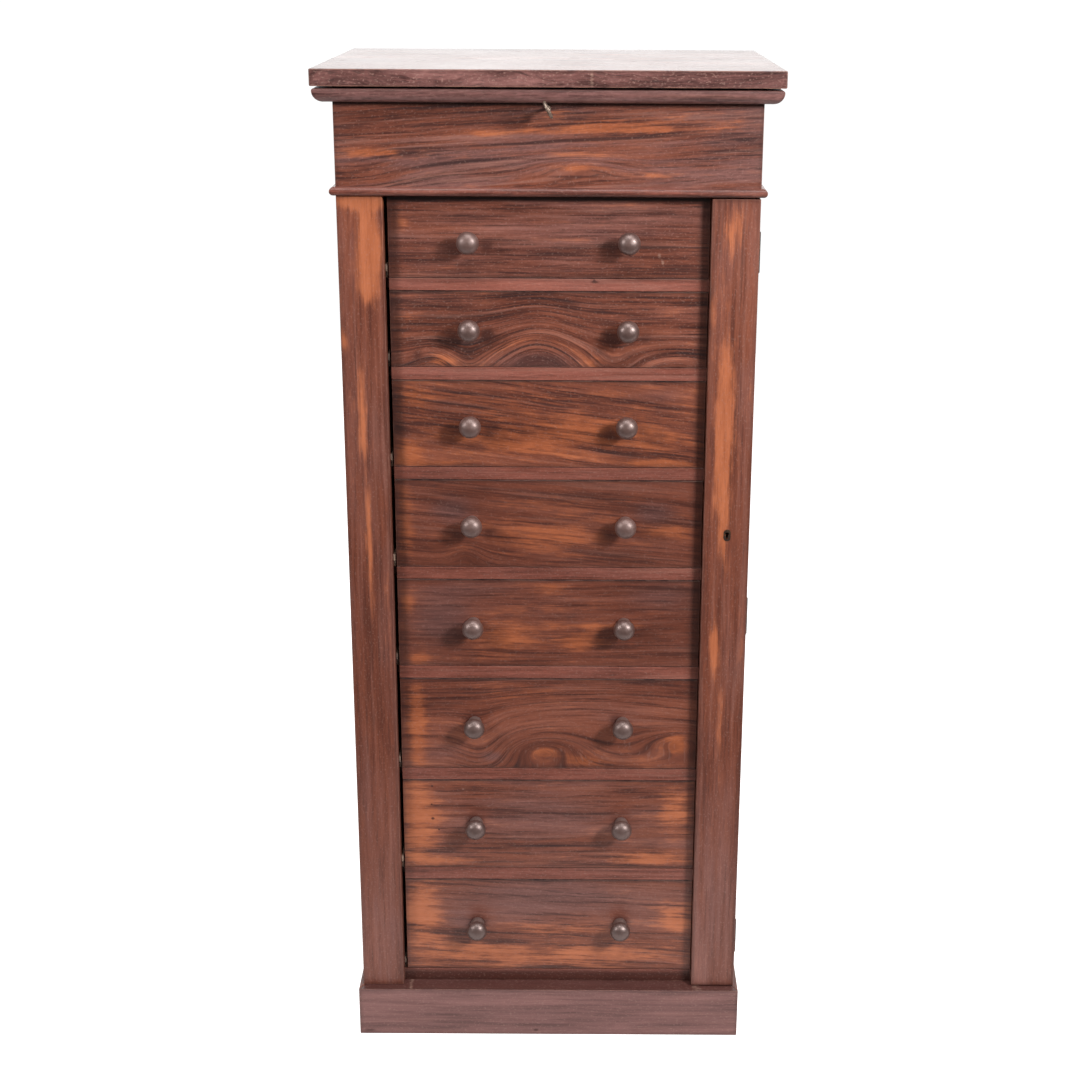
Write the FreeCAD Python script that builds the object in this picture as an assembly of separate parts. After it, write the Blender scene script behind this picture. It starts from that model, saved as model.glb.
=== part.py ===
import FreeCAD, Part
import os
import math
from FreeCAD import Vector as V

os.makedirs("parts", exist_ok=True)

# ---------------------------------------------------------------------------
# Tall narrow chest of eight graduated drawers with a fixed stile on the left,
# a hinged locking stile on the right, and a lift-up lid over a shallow well.
# Millimetres. X to the right, Y away from the viewer, Z up.
# The numbers below are written with y = 0 on the front of the stiles and
# x = 0 on the middle of the case; everything is moved by -Y_MID at the end,
# so that the origin is on the floor under the middle of the overall box.
# ---------------------------------------------------------------------------

# case
W = 540.0                 # width over the sides
SIDE_T = 18.0             # side panel thickness
Y_JOINT = 20.0            # back of the stiles / front edge of the sides
GAP = 0.2                 # half of the gap behind the locking stile
Y_BACK = 438.0            # back of the case
BACK_T = 12.0             # back boards
Z_PL = 74.4               # top of the plinth
Z_STILE_TOP = 1217.5      # underside of the frieze
Z_RIM = 1353.8            # top of the case, under the lid

# lid
LID_X = 295.0             # half width
LID_Y0, LID_Y1 = -25.0, 439.0
LID_Z0, LID_Z1 = 1354.0, 1375.0

# stiles
X_SL = -211.4             # inner edge of the fixed stile
X_SR = 208.2              # inner edge of the locking stile
LS_Z0, LS_Z1 = 76.2, 1215.6   # locking stile, clear of plinth and frieze
X_JAMB = 207.8            # inner face of the post behind the locking stile

# drawers: front face plane, ends, and the heights of the rails between them
Y_DR = 14.0               # drawer fronts sit this far behind the stile fronts
DR_T = 20.0               # drawer front thickness
X_DL, X_DR = -206.8, 207.2
RAIL_TOPS = [1110.4, 993.0, 856.7, 715.3, 570.6, 415.5, 258.6, 93.3]
RAIL_T = [16.0, 17.0, 17.0, 17.0, 18.0, 17.5, 18.0, 18.9]
DR_GAP = 0.8              # joint around a drawer front
BOX_XL, BOX_XR = X_DL, X_DR   # drawer sides are flush with the ends of the front
BOX_T = 9.0               # drawer side thickness
TAIL_D = 13.0             # depth of the lapped dovetails in a drawer front
TAIL_PITCH = 37.0         # about one tail per this height
TAIL_PIN = 5.0            # width of a pin at its narrow end
TAIL_SLOPE = math.tan(math.radians(10.0))
GROOVE = 4.0              # the drawer bottom sits this deep in its grooves
BOX_Y1 = 402.0            # back of the drawer box
KNOB_Z = [1159.3, 1045.6, 917.3, 779.6, 633.8, 486.0, 330.7, 168.9]
KNOB_X = 103.2
KNOB_L = 35.0

# mouldings
BEAD_H, BEAD_P = 11.0, 7.5
MOULD_Z0, MOULD_Z1, MOULD_P = 1334.0, 1351.0, 22.8

# plinth
PL_SIDE = 6.0             # projection at the sides
PL_FRONT = 12.8           # projection at the front
PL_T = 20.0               # side and back boards
PLF_T = 34.0              # front board, deep enough to carry the stile, the base rail and the posts

# hinges of the locking stile: 2 inch butts
SH_X, SH_Y = W / 2 + 0.5, Y_JOINT
SH_R, SH_PIN, SH_LEN, SH_LEAF = 2.5, 1.0, 52.0, 1.5
SH_Z = [1145.0, 645.0, 147.5]
# hinges of the lid: 2 1/2 inch butts
LH_Y, LH_Z = 442.4, 1353.9
LH_R, LH_PIN, LH_LEN, LH_LEAF = 3.0, 1.25, 63.5, 1.6
LH_X = [-170.0, 170.0]
RUN = 0.05                # radial clearance of a turning knuckle on its pin

# lid lock and key
KEY_Z = 1328.0
KEY_TILT = 27.0           # the bow leans this far to the left at rest
KEY_BOW_Y, KEY_BOW_R, KEY_BOW_W = -38.0, 10.0, 1.9
KEY_SHANK_R = 2.3
HOLE_R = 2.75             # round part of a keyhole
# lock of the stile
SK_X, SK_Z = 240.0, 769.0

Y_MID = ((KEY_BOW_Y - KEY_BOW_R - KEY_BOW_W) + (LH_Y + LH_R)) / 2.0


def box(x0, x1, y0, y1, z0, z1):
    return Part.makeBox(x1 - x0, y1 - y0, z1 - z0, V(x0, y0, z0))


def cyl(r, length, base, axis):
    return Part.makeCylinder(r, length, V(*base), V(*axis))


def prism(points, axis, length):
    """Closed polygon of 3-D points, extruded along axis."""
    wire = Part.makePolygon([V(*p) for p in points] + [V(*points[0])])
    return Part.Face(wire).extrude(V(*axis) * length)


def fuse(shapes):
    s = shapes[0]
    if len(shapes) > 1:
        s = s.multiFuse(shapes[1:])
    return s.removeSplitter()


def cut(shape, tools):
    return shape.cut(tools).removeSplitter() if tools else shape


NODES = {}


def node(name, solids):
    if not isinstance(solids, (list, tuple)):
        solids = [solids]
    out = []
    for s in solids:
        out.extend(s.Solids)
    NODES.setdefault(name, []).extend(out)


# ---------------------------------------------------------------------------
# screws: countersunk, slotted
# ---------------------------------------------------------------------------
def screw_body(p, d, length, head=2.6, shank=1.25, sink=1.4):
    """Countersunk screw, head at p, running along d."""
    cone = Part.makeCone(head, shank, sink, V(*p), V(*d))
    rod = cyl(shank, length, p, d)
    return fuse([cone, rod])


def screw(p, d, length, **kw):
    s = screw_body(p, d, length, **kw)
    d = V(*d)
    side = V(1, 0, 0) if abs(d.x) < 0.5 else V(0, 0, 1)
    other = d.cross(side)
    c = V(*p)
    pts = [c + side * a + other * b - d * 0.5 for a, b in
           ((-4, -0.35), (4, -0.35), (4, 0.35), (-4, 0.35))]
    slot = Part.Face(Part.makePolygon(pts + [pts[0]])).extrude(d * 1.1)
    return s.cut(slot)


case_screws, lid_screws, stile_screws = [], [], []
case_bores, lid_bores, stile_bores = [], [], []   # the same shapes, for the wood

# ---------------------------------------------------------------------------
# butt hinges
# ---------------------------------------------------------------------------
KN = 5                     # knuckles per hinge
KN_GAP = 0.15


def knuckle_spans(length):
    step = length / KN
    return [(i * step + (KN_GAP if i else 0.0), (i + 1) * step) for i in range(KN)]


stile_case_leaves, stile_leaves, pins = [], [], []
side_r_cuts, stile_cuts = [], []

for zc in SH_Z:
    z0, z1 = zc - SH_LEN / 2, zc + SH_LEN / 2
    # leaves: the plate stops short of the barrel except beside its own knuckles
    xw = SH_X - SH_R - 0.3
    x_in = 256.0
    yc0, yc1 = Y_JOINT + 0.1, Y_JOINT + 0.1 + SH_LEAF
    ys0, ys1 = Y_JOINT - 0.1 - SH_LEAF, Y_JOINT - 0.1
    case_parts = [box(x_in, xw, yc0, yc1, z0, z1)]
    move_parts = [box(x_in, xw, ys0, ys1, z0, z1)]
    for i, (a, b) in enumerate(knuckle_spans(SH_LEN)):
        ring = cyl(SH_R, b - a, (SH_X, SH_Y, z0 + a), (0, 0, 1))
        if i % 2 == 0:
            case_parts += [ring, box(xw - 0.1, SH_X, yc0, yc1, z0 + a, z0 + b)]
        else:
            move_parts += [ring, box(xw - 0.1, SH_X, ys0, ys1, z0 + a, z0 + b)]
    bore = cyl(SH_PIN + RUN, SH_LEN + 2, (SH_X, SH_Y, z0 - 1), (0, 0, 1))
    leaf_c = fuse(case_parts).cut(bore)
    leaf_m = fuse(move_parts).cut(bore)
    # pin with a small turned tip at each end
    pins.append(fuse([
        cyl(SH_PIN, SH_LEN, (SH_X, SH_Y, z0), (0, 0, 1)),
        cyl(1.7, 1.1, (SH_X, SH_Y, z1), (0, 0, 1)),
        cyl(1.7, 1.1, (SH_X, SH_Y, z0 - 1.1), (0, 0, 1))]))
    for dz in (-16.0, 16.0):
        ps = (261.5, yc0, zc + dz)
        case_screws.append(screw(ps, (0, 1, 0), 14.0))
        b_ = screw_body(ps, (0, 1, 0), 14.0)
        case_bores.append(b_)
        leaf_c = leaf_c.cut(b_)
        ps = (261.5, ys1, zc + dz)
        stile_screws.append(screw(ps, (0, -1, 0), 12.0))
        b_ = screw_body(ps, (0, -1, 0), 12.0)
        stile_bores.append(b_)
        leaf_m = leaf_m.cut(b_)
    stile_case_leaves.append(leaf_c)
    stile_leaves.append(leaf_m)
    # sinkings for the leaves and for the barrel
    side_r_cuts += [box(x_in, W / 2 + 1, Y_JOINT, yc1, z0, z1),
                    box(xw, W / 2 + 1, Y_JOINT, Y_JOINT + SH_R + 0.3, z0 - 1.4, z1 + 1.4)]
    stile_cuts += [box(x_in, W / 2 + 1, ys0, Y_JOINT, z0, z1),
                   box(xw, W / 2 + 1, Y_JOINT - SH_R - 0.3, Y_JOINT, z0 - 1.4, z1 + 1.4)]

lid_case_leaves, lid_leaves = [], []
back_rail_cuts, lid_cuts = [], []
for xc in LH_X:
    x0, x1 = xc - LH_LEN / 2, xc + LH_LEN / 2
    yw = LH_Y - LH_R - 0.3
    y_in = 421.0
    zc0, zc1 = LH_Z - 0.1 - LH_LEAF, LH_Z - 0.1
    zl0, zl1 = LH_Z + 0.1, LH_Z + 0.1 + LH_LEAF
    case_parts = [box(x0, x1, y_in, yw, zc0, zc1)]
    move_parts = [box(x0, x1, y_in, yw, zl0, zl1)]
    for i, (a, b) in enumerate(knuckle_spans(LH_LEN)):
        ring = cyl(LH_R, b - a, (x0 + a, LH_Y, LH_Z), (1, 0, 0))
        if i % 2 == 0:
            case_parts += [ring, box(x0 + a, x0 + b, yw - 0.1, LH_Y, zc0, zc1)]
        else:
            move_parts += [ring, box(x0 + a, x0 + b, yw - 0.1, LH_Y, zl0, zl1)]
    bore = cyl(LH_PIN + RUN, LH_LEN + 2, (x0 - 1, LH_Y, LH_Z), (1, 0, 0))
    leaf_c = fuse(case_parts).cut(bore)
    leaf_m = fuse(move_parts).cut(bore)
    pins.append(fuse([
        cyl(LH_PIN, LH_LEN, (x0, LH_Y, LH_Z), (1, 0, 0)),
        cyl(2.0, 1.2, (x1, LH_Y, LH_Z), (1, 0, 0)),
        cyl(2.0, 1.2, (x0 - 1.2, LH_Y, LH_Z), (1, 0, 0))]))
    for dx in (-22.0, 0.0, 22.0):
        ps = (xc + dx, 429.5, zc1)
        case_screws.append(screw(ps, (0, 0, -1), 16.0))
        b_ = screw_body(ps, (0, 0, -1), 16.0)
        case_bores.append(b_)
        leaf_c = leaf_c.cut(b_)
        ps = (xc + dx, 429.5, zl0)
        lid_screws.append(screw(ps, (0, 0, 1), 14.0))
        b_ = screw_body(ps, (0, 0, 1), 14.0)
        lid_bores.append(b_)
        leaf_m = leaf_m.cut(b_)
    lid_case_leaves.append(leaf_c)
    lid_leaves.append(leaf_m)
    back_rail_cuts.append(box(x0, x1, y_in, Y_BACK + 1, zc0, LH_Z))
    lid_cuts.append(box(x0, x1, y_in, LID_Y1 + 1, LH_Z, zl1))


# ---------------------------------------------------------------------------
# keyhole: round above, slot below
# ---------------------------------------------------------------------------
def keyhole(x, z, y0, y1, r=HOLE_R, slot=1.3, drop=7.2):
    return fuse([cyl(r, y1 - y0, (x, y0, z), (0, 1, 0)),
                 box(x - slot, x + slot, y0, y1, z - drop, z)])


# ---------------------------------------------------------------------------
# lid lock: case let into the back of the frieze, bolt sliding along X
# ---------------------------------------------------------------------------
LK_X, LK_Z0 = 30.0, 1312.0
LK_Y0, LK_Y1 = 8.2, Y_JOINT + GAP
LK_W = 1.5
lid_lock = box(-LK_X, LK_X, LK_Y0, LK_Y1, LK_Z0, Z_RIM)
lid_lock = lid_lock.cut(box(-LK_X + LK_W, LK_X - LK_W, LK_Y0 + LK_W, LK_Y1 - LK_W,
                            LK_Z0 + LK_W, Z_RIM - 2.0))
lid_lock = lid_lock.cut(keyhole(0.0, KEY_Z, LK_Y0 - 1, LK_Y0 + LK_W + 0.5))
# the link plate's two eyes drop through the top of the case
EYE_X = (-15.0, 15.0)
EYE_Y0, EYE_Y1 = 10.8, 17.2
for ex in EYE_X:
    lid_lock = lid_lock.cut(box(ex - 1.8, ex + 1.8, EYE_Y0 - 0.5, EYE_Y1 + 1.2,
                                Z_RIM - 3.0, Z_RIM + 1))
# fence that carries the bolt
lid_lock = fuse([lid_lock,
                 box(-LK_X + 1.0, -12.0, LK_Y0 + 1.0, 16.2, 1336.3, 1337.8),
                 box(12.0, LK_X - 1.0, LK_Y0 + 1.0, 16.2, 1336.3, 1337.8)])
frieze_cuts = [box(-LK_X, LK_X, LK_Y0, LK_Y1 + 1, LK_Z0, Z_RIM + 1),
               keyhole(0.0, KEY_Z, -1.0, LK_Y0 + 0.5)]
for sx in (-27.0, 27.0):
    for sz in (LK_Z0 + 4.0, 1346.5):
        # screws from the back, through both plates into the frieze
        ps = (sx, LK_Y1, sz)
        case_screws.append(screw(ps, (0, -1, 0), 17.0, head=2.2, shank=1.0, sink=1.2))
        b_ = screw_body(ps, (0, -1, 0), 17.0, head=2.2, shank=1.0, sink=1.2)
        case_bores.append(b_)
        lid_lock = lid_lock.cut(b_)

BY0, BY1 = 12.8, 15.2
lid_bolt = fuse([
    box(-25.0, 9.0, BY0, BY1, 1338.0, 1341.2),
    box(-25.0, -22.8, BY0, BY1, 1341.0, 1349.0),
    box(-25.0, -17.0, BY0, BY1, 1345.0, 1349.0),
    box(4.0, 7.0, BY0, BY1, 1341.0, 1349.0),
    box(4.0, 13.0, BY0, BY1, 1345.0, 1349.0)])

# link plate under the lid, with its two eyes
link = box(-24.0, 24.0, 9.6, 18.4, LID_Z0, LID_Z0 + 1.8)
for ex in EYE_X:
    eye = box(ex - 1.0, ex + 1.0, EYE_Y0, EYE_Y1, 1342.4, LID_Z0 + 0.5)
    eye = eye.cut(box(ex - 2.0, ex + 2.0, 12.2, 15.8, 1344.4, 1349.6))
    link = fuse([link, eye])
for sx in (-20.5, 20.5):
    ps = (sx, 14.0, LID_Z0)
    lid_screws.append(screw(ps, (0, 0, 1), 12.0))
    b_ = screw_body(ps, (0, 0, 1), 12.0)
    lid_bores.append(b_)
    link = link.cut(b_)
lid_cuts.append(box(-24.0, 24.0, 9.6, 18.4, LID_Z0 - 1, LID_Z0 + 1.8))

# key: ring bow, collars, round shank, bit; leaning as it was left in the lock
bow = Part.makeTorus(KEY_BOW_R, KEY_BOW_W, V(0, KEY_BOW_Y, KEY_Z), V(1, 0, 0))
shank = cyl(KEY_SHANK_R, 17.4 - (KEY_BOW_Y + KEY_BOW_R - 0.6),
            (0, KEY_BOW_Y + KEY_BOW_R - 0.6, KEY_Z), (0, 1, 0))
collars = [cyl(3.4, 1.6, (0, -24.6, KEY_Z), (0, 1, 0)),
           cyl(3.0, 1.2, (0, -21.4, KEY_Z), (0, 1, 0))]
bit = box(-1.0, 1.0, 11.0, 16.6, KEY_Z - 7.8, KEY_Z)
bit = bit.cut(box(-2.0, 2.0, 13.2, 14.4, KEY_Z - 8.5, KEY_Z - 4.6))
key = fuse([bow, shank, bit] + collars)
key.rotate(V(0, 0, KEY_Z), V(0, 1, 0), -KEY_TILT)

# ---------------------------------------------------------------------------
# stile lock: case let into the back of the locking stile, bolt along Z
# ---------------------------------------------------------------------------
SL_X0, SL_X1, SL_Z0, SL_Z1 = 222.0, 262.0, 737.0, 801.0
SL_Y0, SL_Y1 = 8.8, Y_JOINT - GAP
SL_W = 1.5
stile_lock = box(SL_X0, SL_X1, SL_Y0, SL_Y1, SL_Z0, SL_Z1)
stile_lock = stile_lock.cut(box(SL_X0 + SL_W, SL_X1 - SL_W, SL_Y0 + SL_W, SL_Y1 - SL_W,
                                SL_Z0 + SL_W, SL_Z1 - SL_W))
stile_lock = stile_lock.cut(keyhole(SK_X, SK_Z, SL_Y0 - 1, SL_Y0 + SL_W + 0.5))
ST_Z = (754.0, 786.0)      # the two eyes of the strike plate
ST_X0, ST_X1 = 246.5, 253.5
for ez in ST_Z:
    stile_lock = stile_lock.cut(box(ST_X0 - 3.6, ST_X1 + 1.0, SL_Y1 - 3.0, SL_Y1 + 1,
                                    ez - 1.9, ez + 1.9))
# shelf that carries the bolt when it is drawn back
stile_lock = fuse([stile_lock,
                   box(248.0, SL_X1 - 1.0, SL_Y0 + 1.0, 16.4, 741.6, 743.6)])
stile_cuts += [box(SL_X0, SL_X1, SL_Y0, Y_JOINT + 1, SL_Z0, SL_Z1),
               keyhole(SK_X, SK_Z, -1.0, SL_Y0 + 0.5)]
for sx in (SL_X0 + 4.5, SL_X1 - 4.5):
    for sz in (SL_Z0 + 3.6, SL_Z1 - 4.5):
        if sx > 250 and sz < 760:
            sz = SL_Z0 + 3.0
        ps = (sx, SL_Y1, sz)
        stile_screws.append(screw(ps, (0, -1, 0), 16.5, head=1.9, shank=0.9, sink=1.1))
        b_ = screw_body(ps, (0, -1, 0), 16.5, head=1.9, shank=0.9, sink=1.1)
        stile_bores.append(b_)
        stile_lock = stile_lock.cut(b_)

SBY0, SBY1 = 13.0, 15.6
SBX0, SBX1 = 248.9, 251.1
stile_bolt = fuse([
    box(255.0, 257.4, SBY0, SBY1, 744.0, 783.0),
    box(SBX0, 257.4, SBY0, SBY1, 744.0, 746.4),
    box(SBX0, SBX1, SBY0, SBY1, 744.0, 752.0),
    box(SBX0, 257.4, SBY0, SBY1, 776.0, 778.4),
    box(SBX0, SBX1, SBY0, SBY1, 776.0, 784.0)])

STRIKE_Y0 = Y_JOINT + GAP
strike = box(244.0, 251.9, STRIKE_Y0, STRIKE_Y0 + 1.8, 742.0, 798.0)
for ez in ST_Z:
    eye = box(ST_X0, 251.9, 10.9, STRIKE_Y0 + 0.5, ez - 1.0, ez + 1.0)
    eye = fuse([eye, box(ST_X0, ST_X1, 10.9, 18.2, ez - 1.0, ez + 1.0)])
    eye = eye.cut(box(248.2, 251.8, 12.4, 16.2, ez - 2.0, ez + 2.0))
    strike = fuse([strike, eye])
jamb_cuts = [box(244.0, 253.0, STRIKE_Y0 - 1, STRIKE_Y0 + 1.8, 742.0, 798.0)]
for sz in (746.0, 794.0):
    ps = (247.5, STRIKE_Y0, sz)
    case_screws.append(screw(ps, (0, 1, 0), 14.0))
    b_ = screw_body(ps, (0, 1, 0), 14.0)
    case_bores.append(b_)
    strike = strike.cut(b_)

# escutcheon let into the face of the locking stile
ESC_W, ESC_H = 9.4, 16.4


def obround(x, z, w, h, y0, y1):
    r = w / 2.0
    return fuse([cyl(r, y1 - y0, (x, y0, z + h / 2 - r), (0, 1, 0)),
                 cyl(r, y1 - y0, (x, y0, z - h / 2 + r), (0, 1, 0)),
                 box(x - r, x + r, y0, y1, z - h / 2 + r, z + h / 2 - r)])


esc = obround(SK_X, SK_Z - 1.6, ESC_W, ESC_H, -0.4, 1.6)
esc = esc.cut(keyhole(SK_X, SK_Z, -2.0, 3.0))
stile_cuts.append(obround(SK_X, SK_Z - 1.6, ESC_W, ESC_H, -1.0, 1.6))

# ---------------------------------------------------------------------------
# case
# ---------------------------------------------------------------------------
Y_F = Y_JOINT + GAP        # front edge of sides and posts
side_l = box(-W / 2, -W / 2 + SIDE_T, Y_F, Y_BACK, Z_PL, Z_RIM)
side_r = box(W / 2 - SIDE_T, W / 2, Y_F, Y_BACK, Z_PL, Z_RIM)
side_r = cut(side_r, side_r_cuts)
frieze = box(-W / 2, W / 2, 0.0, Y_F, Z_STILE_TOP, Z_RIM)
frieze = cut(frieze, frieze_cuts)
XI = W / 2 - SIDE_T        # inner face of the sides
WELL_BACK_Y = 418.0
back_rail = box(-XI, XI, WELL_BACK_Y, Y_BACK, Z_STILE_TOP, Z_RIM)
back_rail = cut(back_rail, back_rail_cuts)
well_floor = box(-XI, XI, Y_F, WELL_BACK_Y, Z_STILE_TOP, Z_STILE_TOP + 10.0)
fixed_stile = box(-W / 2, X_SL, 0.0, Y_F, Z_PL, Z_STILE_TOP)
POST_Y1 = 50.0
post_l = box(-XI, X_SL, Y_F, POST_Y1, Z_PL, Z_STILE_TOP)
post_r = box(X_JAMB, XI, Y_F, POST_Y1, Z_PL, Z_STILE_TOP)
post_r = cut(post_r, jamb_cuts)
BACK_Y0 = Y_BACK - BACK_T
backs = []
NB = 3
SEAM, VEE = 0.8, 1.8       # shrinkage gap between the back boards, chamfer along it outside
for i in range(NB):
    bw = 2 * XI / NB
    x0, x1 = -XI + i * bw, -XI + (i + 1) * bw
    outline = [(x0, BACK_Y0, Z_PL)]
    if i < NB - 1:
        x1 -= SEAM / 2
        outline += [(x1, BACK_Y0, Z_PL), (x1, Y_BACK - VEE, Z_PL), (x1 - VEE, Y_BACK, Z_PL)]
    else:
        outline += [(x1, BACK_Y0, Z_PL), (x1, Y_BACK, Z_PL)]
    if i > 0:
        x0 += SEAM / 2
        outline[0] = (x0, BACK_Y0, Z_PL)
        outline += [(x0 + VEE, Y_BACK, Z_PL), (x0, Y_BACK - VEE, Z_PL)]
    else:
        outline += [(x0, Y_BACK, Z_PL)]
    backs.append(prism(outline, (0, 0, 1), Z_STILE_TOP - 0.5 - Z_PL))

rails, dusts, runners, guides, stops = [], [], [], [], []
RUN_XL, RUN_XR = -185.0, 186.0
GUIDE_H = 17.0
BOTTOM_T = 10.0
for i, (zt, t) in enumerate(zip(RAIL_TOPS, RAIL_T)):
    zb = zt - t
    last = i == len(RAIL_TOPS) - 1
    rail = box(X_SL, X_JAMB, Y_DR, POST_Y1, zb, zt)
    if not last:                              # notched beside the stile, in line with the drawers
        rail = cut(rail, [box(X_SL - 1.0, X_DL, Y_DR - 1.0, Y_DR + 18.0, zb - 1.0, zt + 1.0)])
    rails.append(rail)
    zr = Z_PL + BOTTOM_T if last else zb      # the lowest runners lie on the case bottom
    runners.append(box(-XI, RUN_XL, POST_Y1, BACK_Y0, zr, zt))
    runners.append(box(RUN_XR, XI, POST_Y1, BACK_Y0, zr, zt))
    if not last:
        zm = (zb + zt) / 2
        dusts.append(box(RUN_XL, RUN_XR, POST_Y1, BACK_Y0, zm - 3.0, zm + 3.0))
    # guides: a batten each side, the left one showing its end beside the stile
    guides.append(fuse([box(-XI, BOX_XL - 0.8, POST_Y1, BACK_Y0, zt, zt + GUIDE_H),
                        box(X_SL, X_DL - 1.6, Y_DR + 2.0, POST_Y1 + 1, zt, zt + GUIDE_H)]))
    guides.append(box(BOX_XR + 0.8, XI, POST_Y1, BACK_Y0, zt, zt + GUIDE_H))
    # stops: thin blocks on the rail behind the drawer front
    for xs in (-120.0, 120.0):
        stops.append(box(xs - 17.0, xs + 17.0, Y_DR + DR_T + 0.3, POST_Y1 - 4.0, zt, zt + 5.0))
case_bottom = box(-XI, XI, POST_Y1, BACK_Y0, Z_PL, Z_PL + BOTTOM_T)

# screws in the wood
side_r = cut(side_r, [b for b in case_bores if b.BoundBox.Center.x > XI])
back_rail = cut(back_rail, [b for b in case_bores if b.BoundBox.Center.y > WELL_BACK_Y])
frieze = cut(frieze, [b for b in case_bores if abs(b.BoundBox.Center.x) < 40 and b.BoundBox.Center.y < 30])
post_r = cut(post_r, [b for b in case_bores if XI > b.BoundBox.Center.x > 200 and b.BoundBox.Center.y < 60])


# bead and top moulding: profile in (projection, height), mitred at the front
def moulding(profile_edges, y_end):
    """Three mitred lengths of one profile: front, left return, right return.
    profile_edges(point) builds the closed profile from a (p, z) -> Vector map."""
    big = 1000.0
    hw = W / 2
    front = Part.Face(Part.Wire(profile_edges(lambda p, z: V(-hw - 60, -p, z)))).extrude(
        V(2 * hw + 120, 0, 0))
    left = Part.Face(Part.Wire(profile_edges(lambda p, z: V(-hw - p, -60, z)))).extrude(
        V(0, y_end + 60, 0))
    right = Part.Face(Part.Wire(profile_edges(lambda p, z: V(hw + p, -60, z)))).extrude(
        V(0, y_end + 60, 0))
    # mitre planes run outwards at 45 degrees from the front corners of the case
    zl, zh = 0.0, 2000.0
    keep_f = prism([(-hw, 0, zl), (hw, 0, zl), (hw + big, -big, zl), (-hw - big, -big, zl)],
                   (0, 0, 1), zh)
    keep_l = prism([(-hw, 0, zl), (-hw - big, -big, zl), (-hw - big, big, zl), (-hw, big, zl)],
                   (0, 0, 1), zh)
    keep_r = prism([(hw, 0, zl), (hw, big, zl), (hw + big, big, zl), (hw + big, -big, zl)],
                   (0, 0, 1), zh)
    return [front.common(keep_f), left.common(keep_l), right.common(keep_r)]


def bead_profile(m):
    z0, z1, p = Z_STILE_TOP, Z_STILE_TOP + BEAD_H, BEAD_P
    r = BEAD_H / 2
    flat = p - r
    zm = (z0 + z1) / 2
    return [Part.makeLine(m(0, z0), m(flat, z0)),
            Part.Arc(m(flat, z0), m(p, zm), m(flat, z1)).toShape(),
            Part.makeLine(m(flat, z1), m(0, z1)),
            Part.makeLine(m(0, z1), m(0, z0))]


def top_profile(m):
    z0, z1, p = MOULD_Z0, MOULD_Z1, MOULD_P
    r1 = 2.8                     # upper outer corner
    r2 = z1 - r1 - z0            # large quarter round below
    zc = z1 - r1
    s = math.sqrt(0.5)
    return [Part.makeLine(m(0, z1), m(p - r1, z1)),
            Part.Arc(m(p - r1, z1), m(p - r1 + r1 * s, zc + r1 * s), m(p, zc)).toShape(),
            Part.Arc(m(p, zc), m(p - r2 + r2 * s, zc - r2 * s), m(p - r2, z0)).toShape(),
            Part.makeLine(m(p - r2, z0), m(0, z0)),
            Part.makeLine(m(0, z0), m(0, z1))]


beads = moulding(bead_profile, Y_BACK)
mouldings = moulding(top_profile, Y_BACK)

# plinth: four boards, mitred in front, with a glue block in each corner
PX = W / 2 + PL_SIDE
PY0 = -PL_FRONT
PY1 = Y_BACK
pf = prism([(-PX, PY0, 0), (PX, PY0, 0), (PX - PL_T, PY0 + PLF_T, 0), (-PX + PL_T, PY0 + PLF_T, 0)],
           (0, 0, 1), Z_PL)
plr = prism([(PX, PY0, 0), (PX, PY1, 0), (PX - PL_T, PY1, 0), (PX - PL_T, PY0 + PLF_T, 0)],
            (0, 0, 1), Z_PL)
pll = prism([(-PX, PY0, 0), (-PX + PL_T, PY0 + PLF_T, 0), (-PX + PL_T, PY1, 0), (-PX, PY1, 0)],
            (0, 0, 1), Z_PL)
pb = box(-PX + PL_T, PX - PL_T, PY1 - PL_T, PY1 - 0.4, 0.0, Z_PL)
blocks = []
for sx in (-1, 1):
    for yb, sy in ((PY0 + PLF_T, 1), (PY1 - PL_T, -1)):
        xe = sx * (PX - PL_T)
        blocks.append(prism([(xe, yb, 8.0), (xe - sx * 40.0, yb, 8.0), (xe, yb + sy * 40.0, 8.0)],
                            (0, 0, 1), Z_PL - 8.0))

# ---------------------------------------------------------------------------
# lid and locking stile
# ---------------------------------------------------------------------------
lid = box(-LID_X, LID_X, LID_Y0, LID_Y1, LID_Z0, LID_Z1)
lid = cut(lid, lid_cuts + lid_bores)
stile = box(X_SR, W / 2, 0.0, Y_JOINT - GAP, LS_Z0, LS_Z1)
stile = cut(stile, stile_cuts + stile_bores)

# ---------------------------------------------------------------------------
# drawers
# ---------------------------------------------------------------------------
# turned profile, (distance from the drawer front, radius): a thick neck, a
# quirk, and a round flattened head
KNOB_NECK = [(0.0, 9.2), (2.5, 9.7), (6.0, 9.6), (10.0, 9.1), (13.4, 8.5)]
KNOB_HEAD = [(14.2, 9.1), (16.2, 11.7), (19.4, 13.7), (23.2, 14.5)]


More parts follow.
